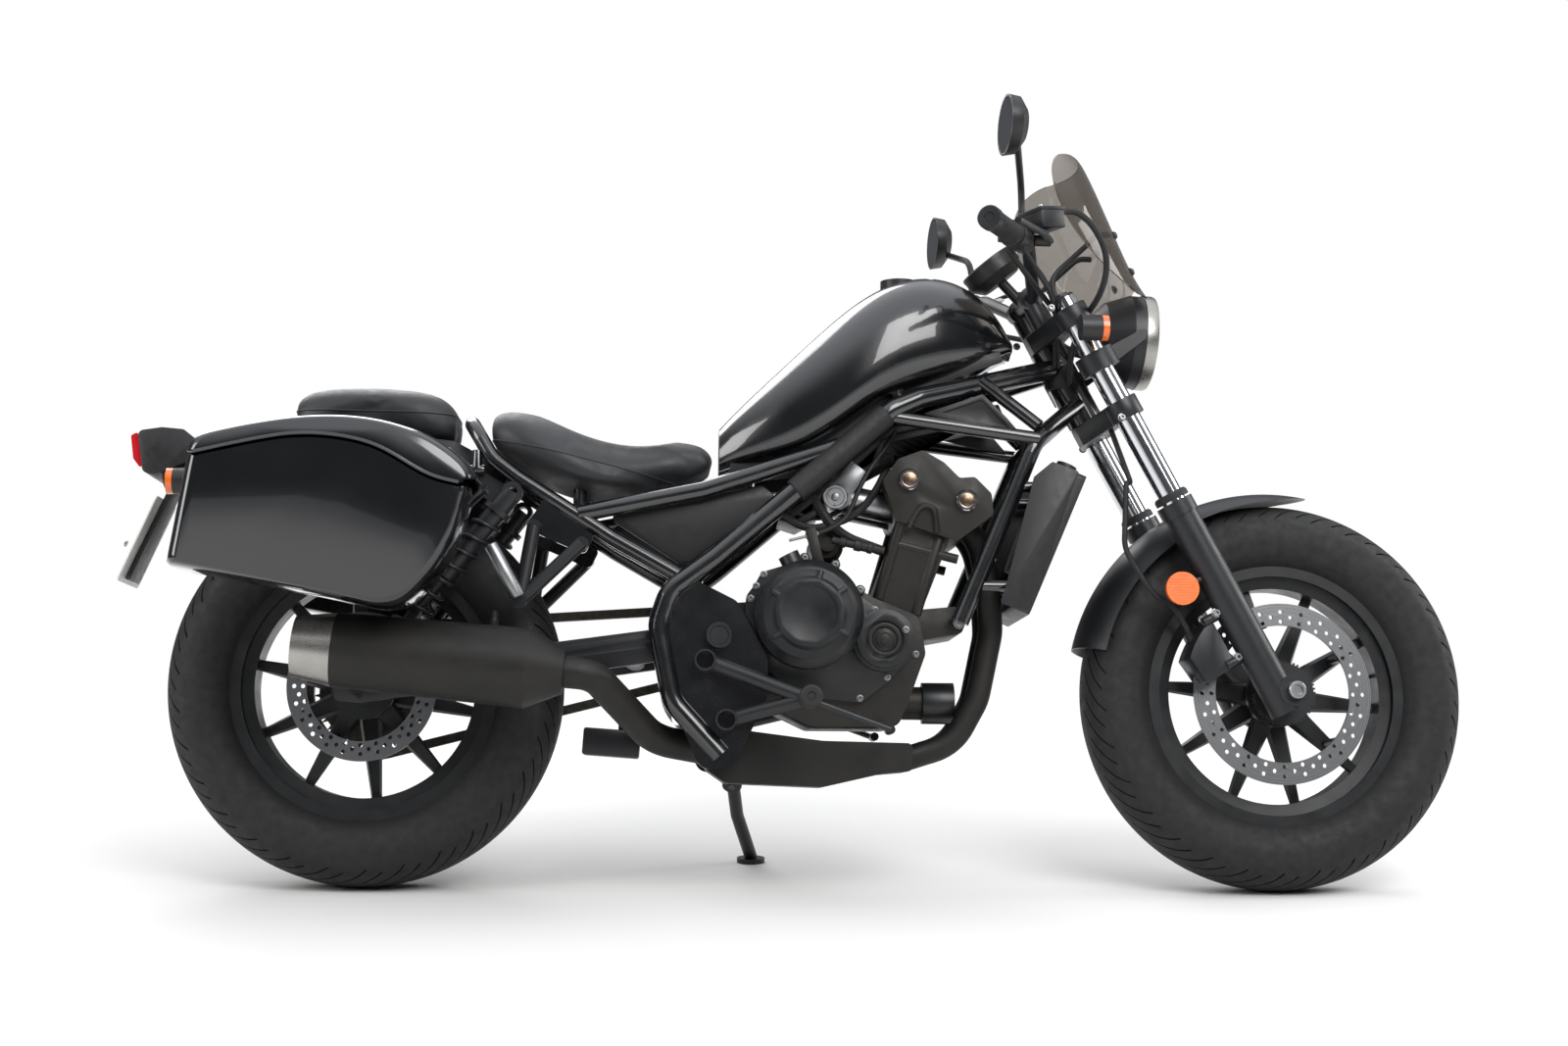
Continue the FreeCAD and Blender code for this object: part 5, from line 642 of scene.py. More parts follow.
def welt(name, pad):
    # the sewn bead where top and side panels of the cover meet, cut from the pad's own surface
    take(pad)
    bpy.ops.object.duplicate(linked=False)
    ring = bpy.context.object
    edit(ring, "VERT")
    height, slope = seat["welts"][name]
    across = (leanTurn.to_3x3() @ Vector(slope)).normalized()
    bpy.ops.mesh.bisect(plane_co=leanTurn @ bike(*height), plane_no=across, clear_inner=True,
                        clear_outer=True, use_fill=False)
    leave()
    take(ring)
    bpy.ops.object.convert(target="CURVE")
    ring = bpy.context.object
    ring.data.bevel_depth = seat["welt"] * mm
    ring.data.bevel_resolution = work["tubeSides"]
    bpy.ops.object.convert(target="MESH")
    ring = bpy.context.object
    outward(ring)
    dress(ring, name + "_welt", "seat_cover", 60)
    fasten(ring, "chassis")


def cover(name, pad):
    modify(pad, "SUBSURF", levels=1, render_levels=1)
    dress(pad, name + "_pad", "seat_cover", 80)
    fasten(pad, "chassis", (name,))


pads = {name: stuffed(name) for name in seat["welts"]}
for name, pad in pads.items():
    cover(name, pad)
    welt(name, pad)
print("seats are covered")


# Castings and pressings whose edges show

# width of the broken edge of each
worked = {"engine_case": 2.2, "engine_top": 2.0, "engine_covers": 1.6, "mirrors": 3.0, "bag_rails": 0.8,
          "pillion_pegs": 1.6, "front_caliper": 1.6, "fork_clamps": 1.6, "radiator": 1.2, "swingarm": 2.0,
          "side_covers": 2.0, "tail_lamp": 1.6, "controls": 1.0, "throttle_bodies": 1.0}

for name, width in worked.items():
    casting = copyOfNode(name)
    rounded(casting, width, angle=32)
    dress(casting, name + "_worked", slotOf[name], 38)
    fasten(casting, bodyOf[name], (name,))
print("castings have their edges broken")


# Small parts that repeat

def screwHead(size, high):
    # socket screw with its washer face, standing on the origin
    outline = [(0, -0.5), (size * 1.3, -0.5), (size * 1.3, 0.7), (size, 0.9), (size, high * 0.85),
               (size * 0.85, high), (size * 0.5, high), (size * 0.5, high * 0.4), (0, high * 0.4)]
    return turned(outline, along=(0, 0, 1), steps=12)


def hexHead(size, high):
    # six-sided head on a round washer
    washer = turned([(0, -0.5), (size * 1.3, -0.5), (size * 1.3, 1), (0, 1)], along=(0, 0, 1), steps=24)
    head = turned([(0, 0.5), (size, 0.5), (size, high * 0.85), (size * 0.86, high), (0, high)],
                  along=(0, 0, 1), steps=6)
    return joined([washer, head])


def scatter(name, master, places, along, body, slot, angle=30):
    # copies of one small part at all those places, facing along, joined into one piece
    copies = [again(master, Matrix.Translation(bike(*place)) @ facing(along)) for place in places]
    take(master)
    bpy.ops.object.delete()
    settle(joined(copies), name, body, slot, angle)


def mirrored(piece):
    # the same part on the machine's other side, its own mesh and facing outwards
    other = again(piece, Matrix.Scale(-1, 4, (0, 1, 0)))
    freeze(other)
    edit(other)
    bpy.ops.mesh.normals_make_consistent(inside=False)
    leave()
    return other


def bothSides(name, piece, body, slot, angle=35, material=None, stands=()):
    settle(joined([piece, mirrored(piece)]), name, body, slot, angle, material, stands)


def block(place, size, turn=(0, 0, 0), edge=2.0):
    # a small box with broken edges, in millimetres and degrees
    deselect()
    bpy.ops.mesh.primitive_cube_add(size=1)
    piece = bpy.context.object
    piece.scale = [value * mm for value in size]
    freeze(piece)
    rounded(piece, edge)
    piece.rotation_euler = [math.radians(value) for value in turn]
    piece.location = bike(*place)
    return freeze(piece)


def sheetPiece(corners, start, depth, edge, inset=0, sink=0):
    # a plate cut to an outline seen from the side, with an optional sunk middle in its outer face
    piece = shaped([bike(forward, start, up) for forward, up in corners], True)
    edit(piece)
    bpy.ops.mesh.extrude_region_move(TRANSFORM_OT_translate={"value": (0, depth * mm, 0)})
    leave()
    outward(piece)
    if inset:
        pick(piece, lambda place, normal: abs(normal.y) > 0.9 and abs(place.y / mm - start) < 0.1)
        bpy.ops.mesh.inset(thickness=inset * mm)
        bpy.ops.mesh.extrude_region_move(TRANSFORM_OT_translate={"value": (0, sink * mm, 0)})
        leave()
    rounded(piece, edge, angle=40)
    return piece


def ribbed(first, pitch, count, foot, crest, rise, fall, end):
    # even ribs along a sleeve: rise is where a rib's top starts, fall and end are left before the next
    points = []
    for start in (first + step * pitch for step in range(count)):
        points += [(foot, start), (crest, start + rise), (crest, start + pitch - fall),
                   (foot, start + pitch - end)]
    return points


def eachSide(name, make, places, slot, body="steering"):
    # rows of one small part, on the machine's right and on its left
    for end, side in (("_right", -1), ("_left", 1)):
        scatter(name + end, make(), [(x, side * y, z) for x, y, z in places], (0, side, 0), body, slot)


# Engine, as it lies open

engine = {"screw": (4.4, 6.0), "bossFoot": -107.5, "bossFace": -126,
          "boss": [(0, 0), (8, 0), (8, 16), (6.8, 18.5), (0, 18.5)],
          "right": [(631, -119.8, 486), (643, -119.8, 505), (708.4, -126, 531.8), (758, -126, 521.4),
                    (798.2, -126, 480.6), (822, -119.8, 449), (869, -153.8, 415), (889, -107.5, 379),
                    (842, -119.8, 341), (798, -119.8, 307), (622, -119.8, 466)],
          "left": [(631, 119.8, 486), (650, 119.8, 512), (880, 119.8, 420), (842, 119.8, 330),
                   (700, 119.8, 310), (640, 119.8, 360)]}
feet = [(x, engine["bossFoot"], z) for x, y, z in engine["right"] if y == engine["bossFace"]]
boss = turned(engine["boss"], along=(0, 0, 1), steps=20)
scatter("cover_screw_bosses", boss, feet, (0, -1, 0), "chassis", "engine_paint")
for side, out in (("right", (0, -1, 0)), ("left", (0, 1, 0))):
    scatter("cover_screws_" + side, screwHead(*engine["screw"]), engine[side], out, "chassis", "silver")

camCap = {"places": [(878, 661), (971, 628)], "face": -121.2,
          "ring": [(10.5, 0), (17.5, 0), (17.5, 2.2), (16, 3.8), (13, 3.8), (11.6, 1.6), (10.5, 1.2)],
          "plug": [(0, 0), (12, 0), (11.8, 1.4), (8, 2.4), (0, 2.9)]}
for part, name, slot, material in (("ring", "camshaft_cap_rings", "chrome", None),
                                   ("plug", "camshaft_cap_plugs", "engine_paint", finish["bronze_plug"])):
    parts = [turned(camCap[part], (forward, camCap["face"], up)) for forward, up in camCap["places"]]
    bothSides(name, joined(parts), "chassis", slot, material=material)

crankCap = {"place": (835, -161, 399), "nut": (9, 4.5),
            "ring": [(21, -1), (26, -1), (26, 1.2), (24.5, 2), (22.5, 2), (21, 1)]}
crankNut = hexHead(*crankCap["nut"])
crankNut.matrix_world = Matrix.Translation(bike(*crankCap["place"])) @ facing((0, -1, 0))
crankRing = turned(crankCap["ring"], crankCap["place"])
settle(joined([crankNut, crankRing]), "crank_cap_nut", "chassis", "engine_paint")

throttle = {"x": 761, "y": -67.2, "z": 638, "screwTurns": (0.6, 2.7, 4.8), "screwReach": 11,
            "screwFace": -70.4,
            "drum": [(0, 0), (20.5, 0), (20.5, 3), (19, 4.4), (15, 4.4), (14, 3.2), (6.5, 3.2), (5.5, 7.5),
                     (4, 8), (0, 8)],
            "screw": [(0, 0), (2.6, 0), (2.6, 2), (0, 2)],
            "arm": ((786, -66, 668), (34, 4, 50), (0, 38, 0), 1.2)}
parts = [turned(throttle["drum"], (throttle["x"], throttle["y"], throttle["z"])),
         block(*throttle["arm"])]
for turn in throttle["screwTurns"]:
    place = (throttle["x"] + throttle["screwReach"] * math.cos(turn), throttle["screwFace"],
             throttle["z"] + throttle["screwReach"] * math.sin(turn))
    parts.append(turned(throttle["screw"], place, steps=6))
settle(joined(parts), "throttle_drum", "chassis", "silver")

clutch = {"cable": [(862, -62, 752), (846, -72, 722), (826, -84, 697), (803, -95, 660), (788, -101, 622),
                    (775, -105, 596), (745, -108, 578), (724, -110, 571)], "cableRadius": 4.0,
          "rod": [(724, -110, 571), (704, -110, 566), (684, -110, 561)], "rodRadius": 2.4,
          "nuts": [([(0, 0), (6.4, 0), (6.4, 7), (0, 7)], (731, -110, 573)),
                   ([(0, 0), (5.2, 0), (5.2, 5), (0, 5)], (716, -110, 569))],
          "nutsToward": (-1, 0, -0.28), "holder": ((727, -110, 545), (17, 15, 74), (0, -14, 0), 2.0)}
settle(tube(clutch["cable"], clutch["cableRadius"]), "clutch_cable", "chassis", "rubber")
parts = [tube(clutch["rod"], clutch["rodRadius"])]
parts += [turned(outline, place, clutch["nutsToward"], 6) for outline, place in clutch["nuts"]]
settle(joined(parts), "clutch_adjuster", "chassis", "silver", angle=25)
settle(block(*clutch["holder"]), "clutch_cable_holder", "chassis", "engine_paint")

hose = {"start": (754, -103, 563), "toward": (1, 0, -0.2),
        "outline": [(0, 0), (6, 0), (6, 12), (8.4, 13), (8.4, 22), (6.4, 23), (6.4, 36), (9.4, 37), (9.4, 47),
                    (8, 48), (8, 58), (9.4, 59), (9.4, 66), (6.6, 67), (6.6, 86), (0, 86)]}
settle(turned(hose["outline"], hose["start"], hose["toward"]), "water_hose_fitting", "chassis", "rubber")
rib = {"points": [(878, -119, 582), (886, -120, 602), (898, -121, 618), (914, -121, 617), (921, -120, 604),
                  (922, -119, 575)], "radius": 4.2}
settle(tube(rib["points"], rib["radius"]), "head_rib", "chassis", "engine_paint")
print("the engine has its screws, plugs and cables")


# Pivot caps, frame bolts and rider pegs of ribbed rubber

pivot = {"place": (572, -149.3, 404), "bolt": (7.5, 6), "bolts": [(959, 112, 430)],
         "cap": [(0, 0), (21.5, 0), (21.5, 3.5), (20, 5.5), (15.5, 5.5), (14.5, 3.8), (0, 3.8)]}
bothSides("pivot_caps", turned(pivot["cap"], pivot["place"]), "chassis", "satin_paint")
eachSide("frame_bolts", lambda: hexHead(*pivot["bolt"]), pivot["bolts"], "silver", "chassis")

peg = {"place": (712, -202.3, 302), "radius": 18, "long": 92, "ribs": 7, "groove": 2.4, "crown": 0.4,
       "first": 5, "plain": 12, "cuts": (1.2, 3, 1.8), "short": 0.6}
radius, far = peg["radius"], peg["long"] - peg["short"]
pitch = (peg["long"] - peg["plain"]) / peg["ribs"]
outline = [(0, 0), (13, 0), (13, 5)]
outline += ribbed(peg["first"], pitch, peg["ribs"], radius - peg["groove"], radius - peg["crown"],
                  *peg["cuts"])
outline += [(radius - 1, far - 5), (radius - 1.4, far - 2), (radius - 4, far), (7, far), (6.4, far - 2),
            (0, far - 2)]
rubber = turned(outline, peg["place"], steps=40)
bothSides("peg_rubbers", rubber, "chassis", "rubber", angle=28, stands=("rider_pegs",))
print("pegs and frame bolts are on")


# Front wheel and fork

fork = {"seal": (1299.5, -115, 631), "cap": (1125.3, -115, 958.8), "screw": (5, 7),
        "screws": [(1212, 143.5, 758), (1098, 143.5, 937)],
        "sealOutline": [(20.8, -3), (28.5, -3), (28.5, 5), (26, 8.5), (22.5, 9.5), (20.8, 9.5)],
        "capOutline": [(0, 0), (18.5, 0), (18.5, 3.4), (17, 5), (0, 5)],
        "hexOutline": [(0, 4), (10, 4), (10, 9), (8.6, 10), (0, 10)]}
seal = turned(fork["sealOutline"], fork["seal"], steerLine)
bothSides("fork_dust_seals", seal, "steering", "rubber")
parts = [turned(fork["capOutline"], fork["cap"], steerLine),
         turned(fork["hexOutline"], fork["cap"], steerLine, 6)]
bothSides("fork_caps", joined(parts), "steering", "satin_paint")
eachSide("clamp_screws", lambda: screwHead(*fork["screw"]), fork["screws"], "silver")

axle = {"place": (1488, -153.3, 319.2),
        "head": [(0, -0.5), (14, -0.5), (14, 2.4), (12.4, 4), (8.6, 4), (8.2, -0.2), (0, -0.2)]}
bothSides("axle_head", turned(axle["head"], axle["place"]), "steering", "silver")

sensor = {"place": (1488, -78.5, 319.2), "outer": 50, "teeth": 48, "tooth": 3.2,
          "outline": [(22, -7), (41, -7), (42, 0), (50, 0), (50, 2), (22, 2)]}
toothRing = freeze(turned(sensor["outline"], steps=sensor["teeth"] * 2))


def onRim(place, normal):
    far = math.hypot(place.x, place.z) / mm
    count = int(math.atan2(place.z, place.x) % math.tau / math.tau * sensor["teeth"] * 2)
    return far > sensor["outer"] - 0.6 and abs(normal.y) < 0.3 and count % 2 == 0


pick(toothRing, onRim)
bpy.ops.mesh.extrude_region_shrink_fatten(TRANSFORM_OT_shrink_fatten={"value": sensor["tooth"] * mm})
leave()
toothRing.matrix_world = Matrix.Translation(bike(*sensor["place"]))
settle(toothRing, "speed_sensor_ring", "front_wheel", "satin_paint", angle=25)

caliper = {"screw": (6.2, 7), "screws": [(1366, -123.1, 444), (1402, -118, 374)], "wireRadius": 2.6,
           "wire": [(1412, -119, 384), (1424, -112, 368), (1438, -106, 344), (1450, -100, 322),
                    (1461, -94, 298)],
           "union": [(0, 0), (6.5, 0), (6.5, 6), (5, 6.6), (5, 12), (4, 13), (0, 13)],
           "unionPlace": (1352, -92, 436), "unionToward": (-0.35, -0.9, 0.2)}
scatter("caliper_screws", screwHead(*caliper["screw"]), caliper["screws"], (0, -1, 0), "steering", "silver")
wire = tube(caliper["wire"], caliper["wireRadius"])
settle(wire, "speed_sensor_wire", "steering", "rubber")
union = turned(caliper["union"], caliper["unionPlace"], caliper["unionToward"], 6)
settle(union, "brake_hose_union", "steering", "silver", angle=25)

stem = {"radius": 198, "front": 12, "rear": 205,
        "outline": [(0, 0), (5, 0), (4.2, 8), (4, 20), (3, 21), (3, 28), (3.8, 29), (3.8, 36), (2.6, 38),
                    (0, 38)]}
for end, centre in wheels.items():
    turn = math.radians(stem[end])
    out, up = math.cos(turn), math.sin(turn)
    place = (centre.x / mm + stem["radius"] * out, 0, centre.z / mm + stem["radius"] * up)
    settle(turned(stem["outline"], place, (-out, 0, -up), 20), end + "_valve_stem", end + "_wheel", "rubber")
print("fork and wheels have their fittings")


# Covers on the frame

rail = {"start": (692, -130.6, 638), "toward": (146, 5, 127), "inner": 17.2, "edge": 18.6, "outer": 20.4,
        "long": 196, "lead": 2.5, "tail": 3}
outline = [(rail["inner"], 0), (rail["edge"], 0), (rail["outer"], rail["lead"]),
           (rail["outer"], rail["long"] - rail["tail"]), (rail["edge"], rail["long"]),
           (rail["inner"], rail["long"])]
bothSides("rail_sleeves", turned(outline, rail["start"], rail["toward"]), "chassis", "rubber")

# corners seen from the side, start and depth across, broken edge, rim and depth of the sunk middle
triangle = ([(902, 772), (1000, 806), (1040, 766), (1064, 738), (1010, 745)], -102, 6, 1.6, 9, 3.2)
bothSides("frame_triangle_covers", sheetPiece(*triangle), "chassis", "black_plastic")
tray = ([(585, 655), (700, 668), (850, 765), (960, 835), (1035, 862), (1030, 880), (930, 852), (800, 792),
         (690, 725), (590, 700)], -88, 5, 1.0)
bothSides("tank_under_trays", sheetPiece(*tray), "chassis", "black_plastic")
airBox = ([(668, 600), (740, 655), (850, 755), (1030, 795), (1040, 772), (842, 728), (832, 690), (800, 668),
           (742, 668), (735, 610), (700, 590)], -66, 132, 8, 10, 3)
settle(sheetPiece(*airBox), "air_box", "chassis", "black_plastic")

# boxes by their place, size, turn and broken edge
regulator = {"box": ((400, -20, 236), (92, 70, 44), (0, 4, 0), 4),
             "strap": ((424, -20, 272), (26, 40, 34), (0, 0, 0), 3)}
parts = [block(*shape) for shape in regulator.values()]
settle(joined(parts), "regulator_box", "chassis", "satin_paint")
print("frame covers are fitted")


# Headlamp and meter

lamp = {"front": (1289, 0, 914.6), "bowl": (1282, 0, 915), "toward": (0.9976, 0, -0.0698),
        "ring": [(70, -14), (79.6, -14), (79.6, 2), (78, 5.5), (73.5, 6.6), (70, 5.4), (68.9, 2), (68.9, -2),
                 (70, -3)],
        "mirror": [(0, -28), (16, -27.5), (38, -21), (56, -9), (66, -1), (66, 0.5), (55, -7.5), (37, -19.5),
                   (15.5, -26), (0, -26.5)],
        "cap": [(0, -25), (19, -25), (19, -14), (16, -10), (0, -8)],
        "bar": ((1271, 0, 916), (14, 120, 5), (0, 4, 0), 1), "screw": (4.5, 5), "screws": [(1262, 78.5, 905)]}
lampRing = turned(lamp["ring"], lamp["front"], lamp["toward"], 72)
settle(lampRing, "headlamp_ring", "steering", "brushed")
lampMirror = turned(lamp["mirror"], lamp["bowl"], lamp["toward"], 64)
settle(lampMirror, "headlamp_reflector", "steering", "chrome")
parts = [turned(lamp["cap"], lamp["bowl"], lamp["toward"]), block(*lamp["bar"])]
settle(joined(parts), "headlamp_divider", "steering", "black_plastic")
eachSide("headlamp_screws", lambda: screwHead(*lamp["screw"]), lamp["screws"], "silver")

meter = {"face": (1022, 0, 1042.7), "toward": (-0.6157, 0, 0.788),
         "bezel": [(44, -2), (50.8, -2), (50.8, 2.6), (49, 4.4), (46, 4.4), (44, 2)],
         "dial": [(0, 0.2), (44.4, 0.2), (44.4, 1.2), (0, 1.2)],
         "glass": [(0, 2.6), (44, 2.6), (44, 3.6), (0, 3.6)],
         "panel": (34, 56, 0.8), "panelRise": 4, "rise": 1.5, "edge": 0.2,
         "mark": (1.4, 1.4, 0.6), "marks": 13, "markReach": 39, "firstMark": 200, "sweep": 220}


def meterPart(part, name, slot, steps, material=None):
    piece = turned(meter[part], meter["face"], meter["toward"], steps)
    settle(piece, name, "steering", slot, material=material)


def onDial(across, along):
    # a place on the meter's face: to the left, then up its face
    side = Vector((0, 1, 0))
    out = Vector(meter["toward"]).normalized()
    up = side.cross(out).normalized() * -1
    if up.x < 0:
        up = -up
    return Vector(meter["face"]) + side * across + up * along + out * meter["rise"]


meterPart("bezel", "meter_bezel", "satin_paint", 72)
meterPart("dial", "meter_dial", "black_plastic", 64, finish["dial_face"])
slope = (0, -math.degrees(math.atan2(-meter["toward"][0], meter["toward"][2])), 0)
panel = block(onDial(0, meter["panelRise"]), meter["panel"], slope, meter["edge"])
settle(panel, "meter_display", "steering", "black_plastic", material=finish["display_glass"])
parts = []
for count in range(meter["marks"]):
    turn = math.radians(meter["firstMark"] - count * meter["sweep"] / (meter["marks"] - 1))
    place = onDial(meter["markReach"] * math.cos(turn), meter["markReach"] * math.sin(turn) * 0.98)
    parts.append(block(place, meter["mark"], slope, meter["edge"]))
settle(joined(parts), "meter_marks", "steering", "plate_white")
meterPart("glass", "meter_glass", "clear_lens", 64)
print("headlamp and meter are complete")


# Handlebar: grips, fluid cup, switches and cables

grip = {"start": (1006.5, -284.9, 1020.8), "toward": (-54.5, -111.1, -8.7), "long": 112, "inner": 11.5,
        "ribs": 16, "foot": 15.6, "crest": 17.3, "first": 9, "plain": 20, "cuts": (0.8, 2.2, 1.4),
        "endStart": (952.3, -395.5, 1012.1),
        "end": [(0, -10), (16, -10), (19.2, -8), (19.2, 6.6), (17.4, 9.1), (9, 9.5), (7, 7), (0, 7)]}
outline = [(grip["inner"], -1), (20, -1), (20.6, 1), (20.6, 4), (18, 6.5)]
pitch = (grip["long"] - grip["plain"]) / grip["ribs"]
outline += ribbed(grip["first"], pitch, grip["ribs"], grip["foot"], grip["crest"], *grip["cuts"])
outline += [(grip["foot"], grip["long"] - 9), (18.2, grip["long"] - 7), (18.2, grip["long"]),
            (grip["inner"], grip["long"])]
sleeve = turned(outline, grip["start"], grip["toward"], 40)
bothSides("grip_sleeves", sleeve, "steering", "rubber", angle=28, stands=("grips",))
barEnd = turned(grip["end"], grip["endStart"], grip["toward"], 48)
bothSides("bar_end_weights", barEnd, "steering", "satin_paint")

cup = {"cup": ((1066, -246, 1052), (46, 54, 30), (0, -8, 26), 3),
       "lid": ((1064, -246, 1068), (49, 57, 6), (0, -8, 26), 1.6),
       "screw": (3.2, 4), "screws": [(1058, -262, 1071), (1070, -229, 1073)], "up": (-0.14, 0, 0.99)}
parts = [block(*cup[name]) for name in ("cup", "lid")]
settle(joined(parts), "brake_fluid_cup", "steering", "satin_paint")
scatter("fluid_cup_screws", screwHead(*cup["screw"]), cup["screws"], cup["up"], "steering", "silver")

switches = {"edge": 1.5, "turn": 26,
            "keys": [((1004, 262, 1036), (10, 14, 8), 20), ((998, 252, 1020), (8, 16, 9), 0),
                     ((1000, 272, 1010), (8, 9, 7), 0)]}
parts = []
for side in (-1, 1):
    for (x, y, z), size, tip in switches["keys"]:
        parts.append(block((x, side * y, z), size, (0, tip, -side * switches["turn"]), switches["edge"]))
settle(joined(parts), "handlebar_switches", "steering", "rubber")

cables = {"brake": (5.2, [(1082, -236, 1062), (1108, -232, 1080), (1150, -212, 1066), (1182, -196, 1016),
                          (1180, -168, 962), (1158, -104, 925), (1146, -52, 870), (1150, -34, 836)]),
          "throttle": (3.4, [(1026, -262, 1010), (1046, -246, 986), (1084, -190, 966), (1112, -110, 940),
                             (1122, -56, 905), (1126, -34, 862)]),
          "return": (3.4, [(1030, -254, 1008), (1054, -232, 978), (1090, -178, 955), (1114, -104, 928),
                           (1130, -48, 893), (1134, -26, 852)]),
          "loom": (4.6, [(1008, -250, 1004), (1048, -204, 972), (1092, -138, 950), (1126, -84, 932),
                         (1164, -46, 908), (1204, -24, 892)]),
          "clutch": (3.8, [(1078, 232, 1040), (1112, 226, 1056), (1150, 204, 1040), (1170, 178, 994),
                           (1168, 132, 950), (1176, 84, 920), (1206, 44, 905)]),
          "loomLeft": (4.6, [(1008, 250, 1004), (1050, 200, 974), (1096, 132, 948), (1130, 78, 928),
                             (1166, 44, 905), (1204, 24, 892)])}
for name, (radius, points) in cables.items():
    settle(tube(points, radius), "cable_" + name, "steering", "rubber")
boot = {"place": (1142, -6, 828), "outline": [(0, 0), (24, 0), (27, 6), (27, 34), (22, 42), (0, 42)],
        "nuts": [([(0, 0), (5.6, 0), (5.6, 16), (4.4, 20), (0, 20)], (1074, 233, 1036), (0.9, -0.1, 0.4)),
                 ([(0, 0), (6.4, 0), (6.4, 12), (5, 16), (0, 16)], (1078, -237, 1056), (0.8, 0.1, 0.6))]}
bundle = turned(boot["outline"], boot["place"], (0, 0, 1), 24)
settle(bundle, "cable_boot", "steering", "rubber")
parts = [turned(outline, place, toward, 6) for outline, place, toward in boot["nuts"]]
settle(joined(parts), "cable_adjusters", "steering", "silver", angle=25)
print("the handlebar is wired")


# Screen and plate fixings

screen = {"bolt": (6, 5), "bolts": [(1224, -60, 1084), (1252, -60, 1022), (1224, 60, 1084), (1252, 60, 1022)],
          "toward": (0.9, 0, 0.4)}
plate = {"screw": (4.2, 3), "screws": [(-388, -48, 552), (-388, 48, 552)], "toward": (-0.92, 0, 0.4)}
scatter("screen_bolts", hexHead(*screen["bolt"]), screen["bolts"], screen["toward"], "steering",
        "black_plastic", 25)
scatter("plate_bolts", screwHead(*plate["screw"]), plate["screws"], plate["toward"], "chassis", "silver")
print("screen, plate and lamps are bolted")


# Hard bags: a smooth shell, its lid with a lip, and the pin they turn on

# outlines are shares of length and height; depths are (place across, scale of the outline there)
bag = {"start": -263, "floor": 432, "long": 470, "high": 290, "wall": 4, "gap": 5,
       "depths": [(-202, 0.955), (-205, 0.968), (-240, 0.98), (-319, 1.0), (-344, 0.99), (-358, 0.972),
                  (-365.6, 0.95), (-369.6, 0.92)],
       "front": [(0.9, 0.83), (0.95, 0.765), (0.982, 0.7), (0.99, 0.66), (0.975, 0.637)],
       "top": [(0.05, 0.795), (0.062, 0.845), (0.09, 0.885), (0.15, 0.915), (0.27, 0.957), (0.4, 0.99),
               (0.54, 1.0), (0.66, 0.982), (0.76, 0.94), (0.84, 0.89)],
       "split": [(0.965, 0.637), (0.9, 0.66), (0.85, 0.69), (0.8, 0.735), (0.74, 0.795), (0.67, 0.852),
                 (0.58, 0.89), (0.48, 0.908), (0.4, 0.906), (0.33, 0.893), (0.2, 0.85), (0.07, 0.8),
                 (0.055, 0.795)],
       "below": [(0.965, 0.61), (0.955, 0.55), (0.945, 0.48), (0.925, 0.37), (0.88, 0.23), (0.81, 0.09),
                 (0.75, 0.02), (0.68, 0.0), (0.6, 0.03), (0.5, 0.065), (0.3, 0.125), (0.1, 0.185),
                 (0.03, 0.205), (0.0, 0.215), (0.002, 0.26), (0.008, 0.32), (0.045, 0.7)]}


def eased(points):
    # corners of an open line cut twice, so that a coarse outline becomes a smooth one
    for turn in range(2):
        new = []
        for (x0, z0), (x1, z1) in zip(points, points[1:]):
            new += [(x0 * 0.75 + x1 * 0.25, z0 * 0.75 + z1 * 0.25),
                    (x0 * 0.25 + x1 * 0.75, z0 * 0.25 + z1 * 0.75)]
        points = [points[0]] + new + [points[-1]]
    return points


def bagPlace(along, up, scale=1.0, drop=0.0):
    forward = bag["start"] + bag["long"] * (0.5 + (along - 0.5) * scale)
    return forward, bag["floor"] + bag["high"] * (0.5 + (up - 0.5) * scale) - drop


def bagPart(outline, drop, side):
    # an outline carried outwards through the bag's depth, opened along the split and given its wall
    last, lastScale = bag["depths"][0]
    places = [bagPlace(along, up, lastScale, drop) for along, up in outline]
    piece = shaped([bike(forward, last, rise) for forward, rise in places], True)
    middle = bagPlace(0.5, 0.5)
    edit(piece)
    for depth, scale in bag["depths"][1:]:
        bpy.ops.mesh.extrude_region_move(TRANSFORM_OT_translate={"value": (0, (depth - last) * mm, 0)})
        bpy.ops.transform.resize(value=(scale / lastScale, 1, scale / lastScale),
                                 center_override=bike(middle[0], depth, middle[1]))
        last, lastScale = depth, scale
    leave()
    outward(piece)
    pick(piece, lambda place, normal: abs(normal.y) < 0.9 and normal.z * side > 0.2)
    bpy.ops.mesh.delete(type="FACE")
    leave()
    modify(piece, "SOLIDIFY", thickness=bag["wall"] * mm, offset=-1, use_rim=True)
    return piece


splitLine = eased(bag["split"])
tub = bagPart(eased(bag["below"]) + splitLine[::-1], bag["gap"], 1)
lidShell = bagPart(eased(bag["top"] + bag["front"]) + splitLine, 0, -1)
tubLeft, lidLeft = mirrored(tub), mirrored(lidShell)
for piece, name in ((tub, "bag_right"), (tubLeft, "bag_left"), (lidShell, "bag_lid_right"),
                    (lidLeft, "bag_lid_left")):
    settle(piece, name + "_shell", bodyOf[name], "bag_shell", angle=50, stands=(name,))

hinge = {"x": 210, "out": 302.8, "z": 613.4, "half": 20, "cheek": 8, "radius": 5, "pin": 2.5, "free": 0.3,
         "thick": 4, "edge": 0.6, "earReach": 11.3, "earLong": 38, "armReach": 5.6, "armSize": (20, 36, 4)}


def hingeBar(start, end, radius):
    outline = [(0, 0), (radius, 0), (radius, end - start), (0, end - start)]
    return turned(outline, (hinge["x"], -start, hinge["z"]), (0, -1, 0), 24)


